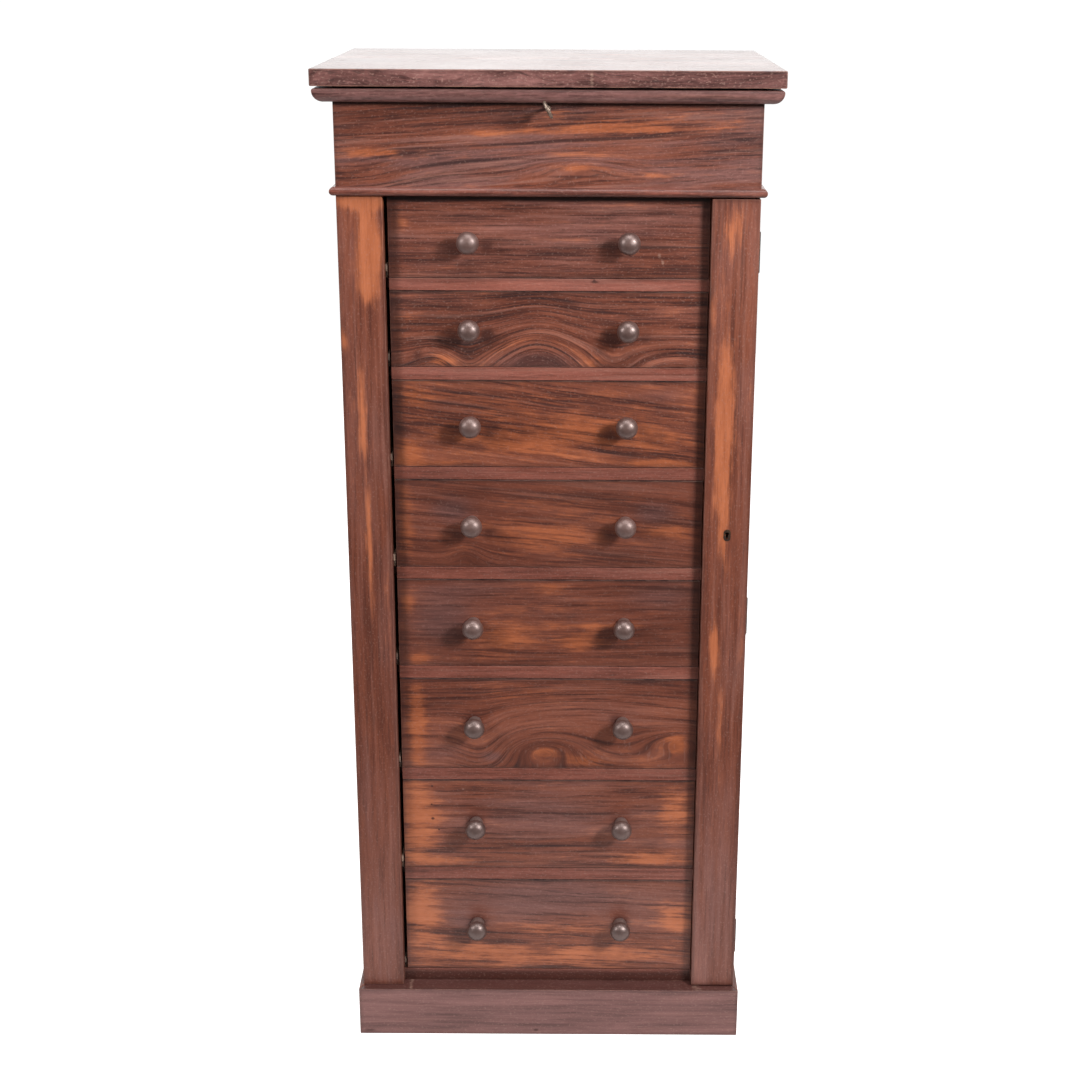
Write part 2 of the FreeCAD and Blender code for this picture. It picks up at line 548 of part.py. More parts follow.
def knob(x, z):
    """Turned knob with a round tenon through the drawer front."""
    def at(d, r):
        return V(x + r, Y_DR - d, z)
    neck_pts = [at(d, r) for d, r in KNOB_NECK]
    head_pts = [at(d, r) for d, r in KNOB_HEAD]
    neck = Part.BSplineCurve()
    neck.interpolate(Points=neck_pts)
    head = Part.BSplineCurve()
    head.interpolate(Points=head_pts, InitialTangent=V(1.0, -0.55, 0), FinalTangent=V(0, -1, 0))
    # elliptical front of the head
    d_max, r_max = KNOB_HEAD[-1]
    turn = [math.radians(a) for a in (0, 15, 30, 45, 60, 75, 90)]
    nose = Part.BSplineCurve()
    nose.interpolate(Points=[head_pts[-1]] + [at(d_max + (KNOB_L - d_max) * math.sin(a), r_max * math.cos(a))
                                              for a in turn[1:-1]] + [at(KNOB_L, 0)],
                     InitialTangent=V(0, -1, 0), FinalTangent=V(-1, 0, 0))
    t0 = at(-DR_T, 5.9)
    edges = [neck.toShape(),
             Part.makeLine(neck_pts[-1], head_pts[0]),
             head.toShape(),
             nose.toShape(),
             Part.makeLine(at(KNOB_L, 0), at(-DR_T, 0)),
             Part.makeLine(at(-DR_T, 0), t0),
             Part.makeLine(t0, at(0, 5.9)),
             Part.makeLine(at(0, 5.9), neck_pts[0])]
    face = Part.Face(Part.Wire(edges))
    return face.revolve(V(x, 0, z), V(0, 1, 0), 360.0)


def dovetails(x, y_root, y_end, z0, z1, between):
    """Tails of a drawer side, wider at y_end than at y_root, through the side's
    thickness from x; or, if between is true, the pins that fill what they leave."""
    count = max(2, int(round((z1 - z0) / TAIL_PITCH)))
    pitch = (z1 - z0) / count
    reach = abs(y_end - y_root)
    spread = reach * TAIL_SLOPE
    out = []
    if between:
        # the pins: narrow at the outer face of the back (y_root), wide at its inner face
        y_out, y_in = y_root, y_end
        for i in range(count + 1):
            zc = z0 + i * pitch
            wn, ww = TAIL_PIN / 2, TAIL_PIN / 2 + spread
            lo = (z0, z0) if i == 0 else (zc - wn, zc - ww)
            hi = (z1, z1) if i == count else (zc + wn, zc + ww)
            out.append(prism([(x, y_out, lo[0]), (x, y_in, lo[1]), (x, y_in, hi[1]), (x, y_out, hi[0])],
                             (1, 0, 0), BOX_T))
        return out
    for i in range(count):
        zc = z0 + (i + 0.5) * pitch
        we = pitch / 2 - TAIL_PIN / 2
        wr = we - spread
        out.append(prism([(x, y_root, zc - wr), (x, y_end, zc - we), (x, y_end, zc + we), (x, y_root, zc + wr)],
                         (1, 0, 0), BOX_T))
    return out


tops = [Z_STILE_TOP - 1.6] + [zt - t for zt, t in zip(RAIL_TOPS, RAIL_T)][:-1]
for n in range(8):
    z0 = RAIL_TOPS[n] + DR_GAP
    z1 = tops[n] - DR_GAP
    yb = Y_DR + DR_T
    front = box(X_DL, X_DR, Y_DR, yb, z0, z1)
    kz = KNOB_Z[n]
    knobs = [knob(-KNOB_X, kz), knob(KNOB_X, kz)]
    front = front.cut([cyl(6.0, DR_T + 2, (sx * KNOB_X, Y_DR - 1, kz), (0, 1, 0)) for sx in (-1, 1)])
    zs0 = RAIL_TOPS[n] + 0.4
    zs1 = z1 - 5.0
    bottom = box(BOX_XL + BOX_T - GROOVE, BOX_XR - BOX_T + GROOVE, yb - GROOVE, BOX_Y1,
                 zs0 + 8.0, zs0 + 14.0)
    back = [box(BOX_XL + BOX_T, BOX_XR - BOX_T, BOX_Y1 - BOX_T, BOX_Y1, zs0 + 14.0, zs1 - 3.0)]
    sides = []
    for xs in (BOX_XL, BOX_XR - BOX_T):
        # lapped dovetails into the front, through dovetails into the back
        tails = dovetails(xs, yb, yb - TAIL_D, zs0, zs1, False)
        pins_b = dovetails(xs, BOX_Y1, BOX_Y1 - BOX_T, zs0 + 14.0, zs1 - 3.0, True)
        side = fuse([box(xs, xs + BOX_T, yb, BOX_Y1, zs0, zs1)] + tails)
        sides.append(cut(side, pins_b + [bottom]))
        front = front.cut(tails)
        back += pins_b
    front = front.cut(bottom).removeSplitter()
    bx = sides + [fuse(back), bottom]
    name = "drawer_%d" % (n + 1)
    node(name + "_front", front)
    node(name + "_box", bx)
    node(name + "_knobs", knobs)

node("side_panel_left", side_l)
node("side_panel_right", side_r)
node("back_boards", backs + [back_rail])
node("well_floor", well_floor)
node("case_bottom", case_bottom)
node("frieze_board", frieze)
node("bead_moulding", beads)
node("top_moulding", mouldings)
node("fixed_stile", fixed_stile)
node("front_posts", [post_l, post_r])
node("drawer_rails", rails)
node("dust_boards", dusts)
node("drawer_runners", runners)
node("drawer_guides", guides)
node("drawer_stops", stops)
node("plinth_front", pf)
node("plinth_returns", [pll, plr, pb])
node("plinth_glue_blocks", blocks)
node("lid_lock_case", lid_lock)
node("lid_hinge_case_leaves", lid_case_leaves)
node("stile_hinge_case_leaves", stile_case_leaves)
node("hinge_pins", pins)
node("stile_strike_plate", strike)
node("case_screws", case_screws)
node("lid_panel", lid)
node("lid_hinge_leaves", lid_leaves)
node("lid_link_plate", link)
node("lid_screws", lid_screws)
node("lid_lock_bolt", lid_bolt)
node("lid_key", key)
node("locking_stile", stile)
node("stile_hinge_leaves", stile_leaves)
node("stile_lock_case", stile_lock)
node("stile_escutcheon", esc)
node("stile_screws", stile_screws)
node("stile_lock_bolt", stile_bolt)

box_all = FreeCAD.BoundBox()
for name, solids in sorted(NODES.items()):
    moved = []
    for s in solids:
        c = s.copy()
        c.translate(V(0, -Y_MID, 0))
        moved.append(c)
    shape = moved[0] if len(moved) == 1 else Part.makeCompound(moved)
    ok = all(m.isValid() and m.Volume > 0 for m in moved)
    box_all.add(shape.BoundBox)
    shape.exportStep("parts/%s.step" % name)
    print("%-26s solids %3d  valid %s  volume %.0f" % (name, len(moved), ok, sum(m.Volume for m in moved)))
print("nodes", len(NODES), "Y_MID", Y_MID)
print("box", box_all)
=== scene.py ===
import bpy
import math
from mathutils import Matrix, Vector


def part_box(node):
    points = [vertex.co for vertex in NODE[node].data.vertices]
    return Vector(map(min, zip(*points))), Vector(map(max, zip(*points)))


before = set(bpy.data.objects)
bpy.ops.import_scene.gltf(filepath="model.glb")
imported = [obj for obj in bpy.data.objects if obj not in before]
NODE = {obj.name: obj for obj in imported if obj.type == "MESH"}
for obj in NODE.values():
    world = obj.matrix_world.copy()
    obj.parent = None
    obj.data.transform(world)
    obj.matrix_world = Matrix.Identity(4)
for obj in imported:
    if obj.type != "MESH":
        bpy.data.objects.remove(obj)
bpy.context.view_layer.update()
scene = bpy.context.scene

YC = -0.19775            # front plane of the stiles in the frame, metres
YD = YC + 0.014          # front plane of the drawers


# ---------------------------------------------------------------------------
# camera: in front of the chest, a little right of its middle, looking down 18 degrees
# ---------------------------------------------------------------------------
def make_camera():
    pitch, yaw, roll = math.radians(18.074), 0.0005, math.radians(-0.3284)
    fwd = Vector((math.sin(yaw) * math.cos(pitch), math.cos(yaw) * math.cos(pitch), -math.sin(pitch)))
    right = Vector((math.cos(yaw), -math.sin(yaw), 0.0))
    down = fwd.cross(right)
    cr, sr = math.cos(roll), math.sin(roll)
    x_axis = cr * right + sr * down
    y_axis = sr * right - cr * down
    z_axis = -fwd
    data = bpy.data.cameras.new("camera")
    data.sensor_width = 36.0
    data.lens = 60.787
    data.shift_x = -0.03824
    data.clip_end = 100.0
    cam = bpy.data.objects.new("camera", data)
    m = Matrix((x_axis, y_axis, z_axis)).transposed().to_4x4()
    m.translation = Vector((0.04293, -2.53102, 1.52115))
    cam.matrix_world = m
    scene.collection.objects.link(cam)
    scene.camera = cam


make_camera()


# ---------------------------------------------------------------------------
# light: two soft boxes in front, a white surround behind and above
# ---------------------------------------------------------------------------
def area_light(name, place, target, size_x, size_y, power, colour=(1.0, 1.0, 1.0)):
    data = bpy.data.lights.new(name, "AREA")
    data.shape = "RECTANGLE"
    data.size, data.size_y = size_x, size_y
    data.energy = power
    data.color = colour
    obj = bpy.data.objects.new(name, data)
    obj.location = place
    obj.rotation_euler = (Vector(target) - Vector(place)).to_track_quat("-Z", "Y").to_euler()
    scene.collection.objects.link(obj)


area_light("softbox_right", (1.725, -1.84, 2.04), (0.05, -0.2, 0.80), 0.50, 0.50, 84.0)
area_light("softbox_left", (-1.87, -1.49, 1.88), (-0.05, -0.2, 0.80), 0.46, 0.50, 29.0)
area_light("softbox_top", (0.10, -0.95, 3.00), (0.0, -0.2, 0.9), 1.6, 1.0, 31.0)


def make_world():
    world = bpy.data.worlds.new("surround")
    scene.world = world
    world.use_nodes = True
    nt = world.node_tree
    nt.nodes.clear()
    out = nt.nodes.new("ShaderNodeOutputWorld")
    coord = nt.nodes.new("ShaderNodeTexCoord")
    sep = nt.nodes.new("ShaderNodeSeparateXYZ")
    nt.links.new(coord.outputs["Generated"], sep.inputs[0])
    # dark room in front of the object, lit wall behind it
    back = nt.nodes.new("ShaderNodeValToRGB")
    nt.links.new(sep.outputs["Y"], back.inputs[0])
    stops = back.color_ramp.elements
    stops.new(0.5)
    stops.new(0.5)
    for i, (at, level) in enumerate(((0.0, 0.08), (0.12, 0.12), (0.60, 0.30), (0.92, 0.80))):
        stops[i].position = at
        stops[i].color = (level, level, level, 1.0)
    below = nt.nodes.new("ShaderNodeMapRange")
    nt.links.new(sep.outputs["Z"], below.inputs["Value"])
    below.inputs["From Min"].default_value, below.inputs["From Max"].default_value = -0.25, 0.05
    below.inputs["To Min"].default_value, below.inputs["To Max"].default_value = 0.75, 2.5
    scale = nt.nodes.new("ShaderNodeMath")
    scale.operation = "MULTIPLY"
    nt.links.new(back.outputs[0], scale.inputs[0])
    nt.links.new(below.outputs[0], scale.inputs[1])
    dim = nt.nodes.new("ShaderNodeBackground")
    dim.inputs["Color"].default_value = (1.0, 1.0, 1.0, 1.0)
    nt.links.new(scale.outputs[0], dim.inputs["Strength"])
    white = nt.nodes.new("ShaderNodeBackground")
    white.inputs["Color"].default_value = (1.0, 1.0, 1.0, 1.0)
    white.inputs["Strength"].default_value = 1.05
    path = nt.nodes.new("ShaderNodeLightPath")
    mix = nt.nodes.new("ShaderNodeMixShader")
    nt.links.new(path.outputs["Is Camera Ray"], mix.inputs[0])
    nt.links.new(dim.outputs[0], mix.inputs[1])
    nt.links.new(white.outputs[0], mix.inputs[2])
    nt.links.new(mix.outputs[0], out.inputs["Surface"])


make_world()
scene.view_settings.view_transform = "Standard"
scene.view_settings.look = "None"
scene.view_settings.exposure = 0.0
scene.view_settings.gamma = 1.0


# ---------------------------------------------------------------------------
# shader kit
# ---------------------------------------------------------------------------
def is_socket(v):
    return isinstance(v, bpy.types.NodeSocket)


class Shader:
    """A node material under construction. Methods return sockets."""

    def __init__(self, name):
        self.mat = bpy.data.materials.new(name)
        self.mat.use_nodes = True
        self.nt = self.mat.node_tree
        self.nt.nodes.clear()
        out = self.nt.nodes.new("ShaderNodeOutputMaterial")
        self.bsdf = self.nt.nodes.new("ShaderNodeBsdfPrincipled")
        self.nt.links.new(self.bsdf.outputs[0], out.inputs[0])
        self.pos = self.nt.nodes.new("ShaderNodeTexCoord").outputs["Object"]
        s = self.nt.nodes.new("ShaderNodeSeparateXYZ")
        self.nt.links.new(self.pos, s.inputs[0])
        self.x, self.y, self.z = s.outputs[0], s.outputs[1], s.outputs[2]

    def put(self, sock, v):
        if is_socket(v):
            self.nt.links.new(v, sock)
        elif v is not None:
            if sock.type == "RGBA" and len(v) == 3:
                v = (*v, 1.0)
            sock.default_value = v

    def math(self, op, a, b=None, c=None, clamp=False):
        n = self.nt.nodes.new("ShaderNodeMath")
        n.operation = op
        n.use_clamp = clamp
        self.put(n.inputs[0], a)
        self.put(n.inputs[1], b)
        self.put(n.inputs[2], c)
        return n.outputs[0]

    def add(self, a, b):
        return self.math("ADD", a, b)

    def sub(self, a, b):
        return self.math("SUBTRACT", a, b)

    def mul(self, a, b):
        return self.math("MULTIPLY", a, b)

    def mad(self, a, b, c):
        return self.math("MULTIPLY_ADD", a, b, c)

    def vec(self, op, a, b=None, c=None):
        n = self.nt.nodes.new("ShaderNodeVectorMath")
        n.operation = op
        self.put(n.inputs[0], a)
        self.put(n.inputs[1], b)
        self.put(n.inputs[2], c)
        return n.outputs["Value"] if op in ("DOT_PRODUCT", "LENGTH", "DISTANCE") else n.outputs[0]

    def join(self, x, y, z):
        n = self.nt.nodes.new("ShaderNodeCombineXYZ")
        for i, v in enumerate((x, y, z)):
            self.put(n.inputs[i], v)
        return n.outputs[0]

    def noise(self, v, scale, detail=2.0, rough=0.5, dist=0.0):
        """Noise of the vector v times the three scales, about 0.5 in the middle."""
        q = self.vec("MULTIPLY", v, tuple(scale)) if not isinstance(scale, (int, float)) else v
        n = self.nt.nodes.new("ShaderNodeTexNoise")
        self.put(n.inputs["Vector"], q)
        n.inputs["Scale"].default_value = scale if isinstance(scale, (int, float)) else 1.0
        n.inputs["Detail"].default_value = detail
        n.inputs["Roughness"].default_value = rough
        n.inputs["Distortion"].default_value = dist
        return n.outputs[0]

    def ramp(self, f, stops, interpolation="LINEAR"):
        n = self.nt.nodes.new("ShaderNodeValToRGB")
        n.color_ramp.interpolation = interpolation
        e = n.color_ramp.elements
        while len(e) < len(stops):
            e.new(0.5)
        for i, (p, c) in enumerate(stops):
            e[i].position = p
            e[i].color = (*c, 1.0)
        self.put(n.inputs[0], f)
        return n.outputs[0]

    def mix(self, f, a, b, mode="MIX"):
        n = self.nt.nodes.new("ShaderNodeMix")
        n.data_type = "RGBA"
        n.blend_type = mode
        n.clamp_factor = True
        self.put(n.inputs[0], f)
        self.put(n.inputs[6], a)
        self.put(n.inputs[7], b)
        return n.outputs[2]

    def mixf(self, f, a, b):
        n = self.nt.nodes.new("ShaderNodeMix")
        n.data_type = "FLOAT"
        self.put(n.inputs[0], f)
        self.put(n.inputs[2], a)
        self.put(n.inputs[3], b)
        return n.outputs[0]

    def step(self, v, lo, hi, a=0.0, b=1.0):
        n = self.nt.nodes.new("ShaderNodeMapRange")
        n.interpolation_type = "SMOOTHSTEP"
        self.put(n.inputs["Value"], v)
        self.put(n.inputs["From Min"], lo)
        self.put(n.inputs["From Max"], hi)
        self.put(n.inputs["To Min"], a)
        self.put(n.inputs["To Max"], b)
        return n.outputs["Result"]

    def blobs(self, q, items, start=0.0):
        """Sum of soft ellipses (u, v, radius u, radius v, strength) at q = (u, v, 0)."""
        total = start
        for cu, cv, ru, rv, s in items:
            p = self.vec("MULTIPLY_ADD", q, (1 / ru, 1 / rv, 0.0), (-cu / ru, -cv / rv, 0.0))
            g = self.math("POWER", 0.3679, self.vec("DOT_PRODUCT", p, p))
            total = self.mad(g, s, total)
        return total

    def bump(self, height, strength, distance, normal=None):
        n = self.nt.nodes.new("ShaderNodeBump")
        n.inputs["Strength"].default_value = strength
        n.inputs["Distance"].default_value = distance
        self.put(n.inputs["Height"], height)
        if normal is not None:
            self.put(n.inputs["Normal"], normal)
        return n.outputs[0]

    def edge(self, lo, hi):
        """Distance from a point on the surface of a box to the box's nearest edge."""
        d = []
        for p, a, b in ((self.x, lo[0], hi[0]), (self.y, lo[1], hi[1]), (self.z, lo[2], hi[2])):
            d.append(self.math("MINIMUM", self.sub(p, a), self.sub(b, p)))
        low = self.math("MINIMUM", d[0], d[1])
        high = self.math("MAXIMUM", d[0], d[1])
        return self.math("MAXIMUM", low, self.math("MINIMUM", high, d[2]))

    def finish(self, colour, rough, normal=None, metallic=0.0, coat=None, coat_rough=0.1, ior=1.5, spec=0.5,
               tint=None):
        b = self.bsdf
        self.put(b.inputs["Base Color"], colour)
        self.put(b.inputs["Roughness"], rough)
        self.put(b.inputs["Metallic"], metallic)
        b.inputs["IOR"].default_value = ior
        b.inputs["Specular IOR Level"].default_value = spec
        if tint is not None:
            b.inputs["Specular Tint"].default_value = (*tint, 1.0)
        if coat is not None:
            self.put(b.inputs["Coat Weight"], coat)
            b.inputs["Coat Roughness"].default_value = coat_rough
        if normal is not None:
            self.put(b.inputs["Normal"], normal)
        return self.mat


# colours, linear
WOOD = [(0.00, (0.042, 0.0115, 0.0075)),
        (0.30, (0.087, 0.0240, 0.0140)),
        (0.50, (0.133, 0.0375, 0.0215)),
        (0.72, (0.190, 0.0560, 0.0310)),
        (1.00, (0.275, 0.0880, 0.0480))]
ORANGE = [(0.00, (0.120, 0.0320, 0.0140)),
          (0.30, (0.220, 0.0600, 0.0245)),
          (0.55, (0.310, 0.0870, 0.0350)),
          (1.00, (0.430, 0.1350, 0.0600))]
RAIL = [(0.00, (0.100, 0.0280, 0.0180)),
        (0.30, (0.160, 0.0470, 0.0310)),
        (0.50, (0.205, 0.0630, 0.0430)),
        (0.72, (0.250, 0.0800, 0.0560)),
        (1.00, (0.330, 0.1150, 0.0820))]
MAUVE = [(0.00, (0.060, 0.0250, 0.0220)),
         (0.30, (0.110, 0.0470, 0.0420)),
         (0.50, (0.155, 0.0680, 0.0610)),
         (0.72, (0.205, 0.0920, 0.0830)),
         (1.00, (0.280, 0.1320, 0.1180))]
DUSK = [(0.00, (0.034, 0.0140, 0.0125)),
        (0.30, (0.072, 0.0295, 0.0255)),
        (0.50, (0.108, 0.0450, 0.0385)),
        (0.72, (0.155, 0.0660, 0.0560)),
        (1.00, (0.225, 0.1020, 0.0870))]
LINE = (0.026, 0.0105, 0.0100)
STAIN_AND_SHADE = (0.046, 0.0130, 0.0095)
PALE_MARK = (0.430, 0.270, 0.205)


def rosewood(name, axes, seed, box, tilt=0.0, warp=0.012, bumps=(), orange=(), polish_and_reflection_haze=(), dark=(), light=(),
             lift=0.0, lines=0.60, freq=230.0, bands=1.0, split=None, rough=0.38, ragged=1.0, palette=None,
             haze=0.40, ends=None, stretch=1.0, veins=(), glow=(), wash=(), wash_colour=None, marks=(), speckle=0.22,
             spec=0.42, fine=1.0, pale=0.30, olift=0.0, rubbed=0.35, relief=1.0, calm=(), shade=None):
    """Polished rosewood board. axes: frame axes along the grain, across it on the face, and into the board.
    Features are soft ellipses (u, v, radius u, radius v, strength) on the face, in metres; veins and glow take
    their second coordinate along the ring field, so they follow the figure."""
    S = Shader(name)
    comp = {"x": S.x, "y": S.y, "z": S.z}
    u, v, w = (comp[a] for a in axes)
    if split is not None:                    # lengths that run the other way round a mitre
        m = split(S)
        u, w = S.mixf(m, u, w), S.mixf(m, w, u)
        u = S.mad(m, 3.7, u)
    q = S.join(u, v, 0.0)
    us = S.mad(u, 1.0 / stretch, seed * 1.713)
    ws = S.add(w, seed * 0.937)
    P = S.join(us, v, ws)
    # growth rings: a field that runs across the grain, bent by slow waves and by knots
    slow = S.noise(P, (1.7, 9.0, 6.0), 1.0, 0.45)
    wave = S.noise(P, (9.0, 26.0, 14.0), 2.0, 0.5)
    r = S.mad(S.sub(slow, 0.5), warp, v)
    r = S.mad(S.sub(wave, 0.5), warp * 0.45, r)
    if tilt:
        r = S.mad(u, tilt, r)
    face = box[0]["xyz".index(axes[2])] if split is None else 0.0
    r = S.mad(S.sub(w, face), 0.55, r)
    if bumps:
        r = S.blobs(q, bumps, r)
    R = S.join(us, r, ws)
    qr = S.join(u, r, 0.0)
    band = S.noise(R, (2.2, 25.0, 6.0), 2.0, 0.5)
    streak = S.noise(R, (6.5, 88.0, 14.0), 2.0, 0.6)
    ring = S.noise(R, (8.0, freq, 25.0), 3.0, 0.62)
    fibre = S.noise(R, (42.0, 520.0, 160.0), 2.0, 0.65)
    speck = S.noise(R, (150.0, 430.0, 300.0), 1.0, 0.5)
    dash = S.noise(R, (75.0, 1000.0, 260.0), 1.0, 0.5)
    pores = S.step(dash, 0.58, 0.72)
    cloud = S.noise(P, (5.0, 20.0, 9.0), 3.0, 0.55)

    t = S.mad(S.sub(band, 0.5), 0.85 * bands, 0.49 + lift)
    t = S.mad(S.sub(streak, 0.5), 0.80 * bands, t)
    t = S.mad(S.sub(ring, 0.5), 0.65 * bands, t)
    t = S.mad(S.sub(fibre, 0.5), 0.85 * fine, t)
    t = S.mad(S.sub(speck, 0.5), 0.45 * fine, t)
    t_in = t
    if light:
        t = S.blobs(q, light, t)
    colour = S.ramp(t, palette or WOOD)
    # purple-brown bands along the grain, and a grey veil over them: partly old polish gone grey, partly a painted
    # reflection haze
    dusk = S.ramp(S.add(t, -0.04), DUSK)
    hz = S.mad(S.sub(streak, 0.5), 0.90, cloud)
    hz = S.mad(S.sub(band, 0.5), 0.60, hz)
    hz = S.mul(S.step(hz, 0.40, 0.70), haze)
    colour = S.mix(hz, colour, dusk)
    # thin pale lines between them
    thin = S.noise(R, (4.5, 150.0, 22.0), 2.0, 0.55)
    still = None
    if calm:                                 # plain patches inside the figure
        still = S.step(S.blobs(q, calm), 0.25, 0.80, 1.0, 0.15)
    pl = S.mul(S.step(thin, 0.54, 0.70), pale)
    if still is not None:
        pl = S.mul(pl, still)
    colour = S.mix(pl, colour, (0.270, 0.1200, 0.0900))

    # orange heartwood showing in ragged patches
    if orange:
        rag = S.mad(S.sub(streak, 0.5), 1.10 * ragged, S.mul(S.sub(cloud, 0.5), 0.9 * ragged))
        rag = S.mad(S.sub(ring, 0.5), 0.85 * ragged, rag)
        rag = S.mad(S.sub(fibre, 0.5), 0.50 * ragged, rag)
        mottle = S.noise(P, (26.0, 75.0, 40.0), 3.0, 0.62)
        rag = S.mad(S.sub(mottle, 0.5), 1.10 * ragged, rag)
        g = S.add(S.blobs(q, orange), rag)
        if glow:
            g = S.blobs(qr, glow, g)
        om = S.step(g, 0.15, 0.90)
        t_o = S.mad(S.sub(t_in, 0.49 + lift), 0.90, 0.50 + olift)
        t_o = S.mad(S.sub(mottle, 0.5), 0.70 * ragged, t_o)
        o = S.ramp(t_o, ORANGE)
        colour = S.mix(om, colour, o)
    # greyer patches: old polish gone grey, partly a painted reflection haze
    if polish_and_reflection_haze:
        g = S.mad(S.sub(streak, 0.5), 0.6, S.blobs(q, polish_and_reflection_haze))
        dm = S.step(g, 0.12, 1.0)
        colour = S.mix(S.mul(dm, 0.85), colour, dusk)
    if wash:
        wm = S.step(S.mad(S.sub(streak, 0.5), 0.5, S.blobs(q, wash)), 0.10, 0.90)
        colour = S.mix(S.mul(wm, 0.90), colour, S.ramp(S.mad(S.sub(thin, 0.5), 1.1, t), wash_colour))
    # dark latewood lines, thin and broken
    dl = S.mad(S.sub(fibre, 0.5), 0.25, ring)
    dl = S.mad(S.sub(streak, 0.5), 0.35, dl)
    dl = S.mad(S.sub(band, 0.5), 0.25, dl)
    dm = S.step(dl, 0.30, 0.49, 1.0, 0.0)
    amount = S.mul(dm, lines)
    if still is not None:
        amount = S.mul(amount, still)
    if orange:
        amount = S.mul(amount, S.mad(om, -0.65, 1.0))
    colour = S.mix(amount, colour, LINE)
    if veins:
        g = S.mad(S.sub(fibre, 0.5), 0.45, S.blobs(qr, veins))
        colour = S.mix(S.mul(S.step(g, 0.20, 0.70), 0.80), colour, LINE)
    # dark patches: stains and figure in the wood, and on some boards painted shadows (round the knobs, under the top
    # moulding, on the bottom rail)
    if dark:
        g = S.mad(S.sub(streak, 0.5), 0.45, S.blobs(q, dark))
        km = S.step(g, 0.15, 0.95)
        colour = S.mix(S.mul(km, 0.85), colour, STAIN_AND_SHADE)
    # pale flecks in the polish, and old scratches
    fleck = S.noise(R, (300.0, 430.0, 430.0), 1.0, 0.5)
    colour = S.mix(S.mul(S.step(fleck, 0.58, 0.72), speckle), colour, (0.330, 0.195, 0.160))
    if marks:
        g = S.mad(S.sub(speck, 0.5), 0.5, S.blobs(q, marks))
        colour = S.mix(S.mul(S.step(g, 0.35, 0.85), 0.75), colour, PALE_MARK)
    # open pores, filled dark
    colour = S.mix(S.mul(pores, 0.40 * fine), colour, (0.018, 0.008, 0.007))
    lo, hi = box
    if ends is not None:                     # painted shadow of the proud stiles across the ends of the board
        de = S.math("MINIMUM", S.sub(S.x, lo[0]), S.sub(hi[0], S.x))
        de = S.mad(S.sub(cloud, 0.5), 0.008, de)
        colour = S.mix(S.mul(S.step(de, 0.008, 0.021, 1.0, 0.0), ends), colour, (0.016, 0.0065, 0.0055))
    if shade is not None:                    # painted shade along the top of a drawer, close under the rail or bead above it
        colour = S.mix(S.mul(S.step(S.sub(hi[2], S.z), shade[0], shade[1], 1.0, 0.0), 0.85), colour, (0.014, 0.0060, 0.0055))
    # edges: rubbed a little paler on the arris, dirt held just inside it
    patch = S.noise(S.pos, 46.0, 3.0, 0.6)
    d = S.edge(lo, hi)
    d = S.mad(S.sub(patch, 0.5), 0.0042, d)
    rub = S.mul(S.step(d, 0.0004, 0.0019, 1.0, 0.0), S.step(patch, 0.36, 0.66))
    dirt = S.mul(S.step(d, 0.0012, 0.0065, 1.0, 0.0), 0.30)
    colour = S.mix(dirt, colour, (0.026, 0.0105, 0.0088))
    colour = S.mix(S.mul(rub, rubbed), colour, (0.300, 0.145, 0.105))
    # polish: worn and greasy in places
    hand = S.noise(S.pos, 9.0, 3.0, 0.55)
    rg = S.mad(S.sub(hand, 0.5), 0.26 * min(1.0, 0.2 + relief), rough)
    rg = S.mad(pores, 0.16, rg)
    rg = S.mad(rub, 0.12, rg)
    h = S.mad(fibre, 0.30, S.mul(ring, 0.35))
    h = S.mad(pores, -0.9, h)
    normal = S.bump(h, 0.16 * relief, 0.0006)
    undulate = S.noise(S.pos, 17.0, 1.0, 0.5)
    normal = S.bump(undulate, 0.10 * relief, 0.0016, normal)
    return S.finish(colour, rg, normal, spec=spec)


def put(node, mat):
    m = NODE[node].data.materials
    m.clear()
    m.append(mat)


def lohi(node):
    lo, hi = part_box(node)
    return tuple(lo), tuple(hi)
